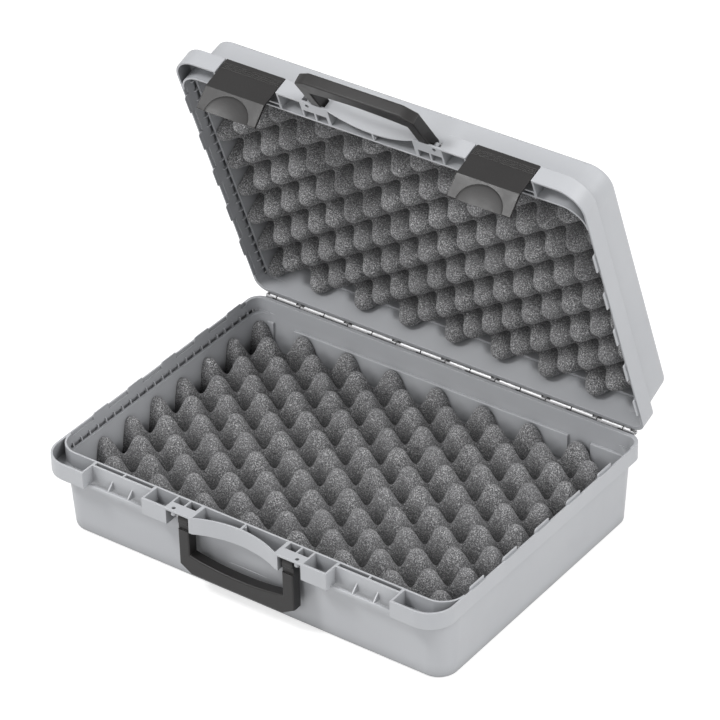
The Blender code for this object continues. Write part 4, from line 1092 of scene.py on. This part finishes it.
def build_case():
    build_half("base", BASE, BASE_PLACE)
    build_half("lid", LID, LID_PLACE)
    pin = rod("hinge_wire", (-0.210, HINGE_Y, 0.0), (0.210, HINGE_Y, 0.0), PIN_RADIUS, None, 32, 0.0003)
    finish_piece(pin, "hinge_pin", "base", BASE_PLACE, STEEL)
    for side, where in ((-1, "left"), (1, "right")):
        latch = build_latch(f"{where}_flap_latch", side)
        finish_piece(latch, f"latch_{where}", f"{where}_latch", LID_PLACE, BLACK)
        xs = (side * (LATCH_BAY_INNER - PARTITION * 0.75), side * (LATCH_BAY_OUTER + PARTITION * 0.75))
        ends = [(x, LATCH_Y, LATCH_Z) for x in xs]
        bar = rod(f"{where}_latch_axle", *ends, LATCH_PIN_RADIUS, None, 32, 0.0002)
        finish_piece(bar, f"latch_pin_{where}", "lid", LID_PLACE, STEEL)
    swing = (
        Matrix.Translation((0.0, HANDLE_Y, HANDLE_Z))
        @ Matrix.Rotation(GRIP_ANGLE, 4, "X")
        @ Matrix.Translation((0.0, -HANDLE_Y, -HANDLE_Z))
    )
    grip = build_handle("base_folding_grip", BASE)
    finish_piece(grip, "base_handle", "base_grip", BASE_PLACE, BLACK)
    grip = build_handle("lid_folding_grip", LID)
    finish_piece(grip, "lid_handle", "lid_grip", LID_PLACE @ swing, BLACK)


# Stage


def stage_material(name, colour):
    """Pale paper, lifted to white for the camera alone, so that only the shadow shows."""
    n = Nodes(name)
    fibre = n.noise(140.0, 3.0, 0.5)
    shade = n.mix(n.span(fibre, 0.3, 0.7, 0.0, 1.0), colour, tuple(c * 0.99 for c in colour))
    n.link(shade, n.shader.inputs["Base Color"])
    n.shader.inputs["Roughness"].default_value = 0.9
    n.shader.inputs["Specular IOR Level"].default_value = 0.0
    n.shader.inputs["Emission Color"].default_value = (1.0, 1.0, 1.0, 1.0)
    rays = n.add("ShaderNodeLightPath")
    lifted = n.sum(rays.outputs["Is Camera Ray"], rays.outputs["Is Glossy Ray"], "MAXIMUM")
    n.link(n.sum(lifted, FLOOR_LIFT, "MULTIPLY"), n.shader.inputs["Emission Strength"])
    return n.made


def build_floor():
    skin = bmesh.new()
    bmesh.ops.create_grid(skin, x_segments=2, y_segments=2, size=4.0)
    floor = mesh_object("studio_floor", skin)
    floor.location.z = -0.0002
    paper = stage_material("studio_paper", (0.62, 0.62, 0.62))
    floor.data.materials.append(paper)


def build_world():
    world = bpy.data.worlds.new("studio")
    world.use_nodes = True
    bpy.context.scene.world = world
    tree = world.node_tree
    tree.nodes.clear()
    out = tree.nodes.new("ShaderNodeOutputWorld")
    rays = tree.nodes.new("ShaderNodeLightPath")
    shown = tree.nodes.new("ShaderNodeBackground")
    shown.inputs["Color"].default_value = (1.0, 1.0, 1.0, 1.0)
    shown.inputs["Strength"].default_value = 1.0
    light = tree.nodes.new("ShaderNodeBackground")
    light.inputs["Color"].default_value = (1.0, 1.0, 1.0, 1.0)
    light.inputs["Strength"].default_value = WORLD_LIGHT
    mix = tree.nodes.new("ShaderNodeMixShader")
    seen = tree.nodes.new("ShaderNodeMath")
    seen.operation = "MAXIMUM"
    tree.links.new(rays.outputs["Is Camera Ray"], seen.inputs[0])
    tree.links.new(rays.outputs["Is Glossy Ray"], seen.inputs[1])
    tree.links.new(seen.outputs["Value"], mix.inputs["Fac"])
    tree.links.new(light.outputs["Background"], mix.inputs[1])
    tree.links.new(shown.outputs["Background"], mix.inputs[2])
    tree.links.new(mix.outputs["Shader"], out.inputs["Surface"])


WORLD_LIGHT = 0.46
FLOOR_LIFT = 0.62


def lamp(name, place, target, size, power):
    data = bpy.data.lights.new(name, "AREA")
    data.shape = "DISK"
    data.size = size
    data.energy = power
    made = bpy.data.objects.new(name, data)
    bpy.context.scene.collection.objects.link(made)
    made.location = place
    made.rotation_euler = (Vector(target) - Vector(place)).to_track_quat("-Z", "Y").to_euler()


def build_lights():
    lamp("key", (-1.2, -1.5, 2.4), (0.0, 0.0, 0.15), 0.7, 38.0)
    lamp("side", (2.0, 0.0, 1.9), (0.0, 0.0, 0.15), 1.2, 34.0)
    lamp("front", (0.4, -2.6, 1.3), (0.0, 0.0, 0.2), 1.0, 14.0)


# Camera: the place in the case frame and the angles come from a fit to the photograph
CAMERA_PLACE = (1.78490, -2.20366, 2.07468)
CAMERA_AZIMUTH = 36.65
CAMERA_ELEVATION = 33.75
CAMERA_ROLL = -1.33
CAMERA_FOCAL_PIXELS = 3996.5
PHOTO_PIXELS = 720
SENSOR = 36.0


def build_camera():
    azimuth, elevation = radians(CAMERA_AZIMUTH), radians(CAMERA_ELEVATION)
    ahead = Vector((-sin(azimuth) * cos(elevation), cos(azimuth) * cos(elevation), -sin(elevation)))
    right = Vector((cos(azimuth), sin(azimuth), 0.0))
    down = ahead.cross(right)
    roll = asin(sin(radians(CAMERA_ROLL)) / cos(elevation))
    right, down = right * cos(roll) - down * sin(roll), right * sin(roll) + down * cos(roll)
    data = bpy.data.cameras.new("photo_camera")
    data.sensor_width = SENSOR
    data.lens = CAMERA_FOCAL_PIXELS / PHOTO_PIXELS * SENSOR
    data.clip_end = 20.0
    made = bpy.data.objects.new("photo_camera", data)
    bpy.context.scene.collection.objects.link(made)
    place = BASE_PLACE @ Vector(CAMERA_PLACE)
    columns = [right, -down, -ahead]
    made.matrix_world = Matrix(
        [[*(column[i] for column in columns), place[i]] for i in range(3)] + [[0.0, 0.0, 0.0, 1.0]]
    )
    bpy.context.scene.camera = made


build_case()
build_floor()
build_world()
build_lights()
build_camera()
bpy.context.scene.view_settings.view_transform = "Standard"

bpy.context.view_layer.update()
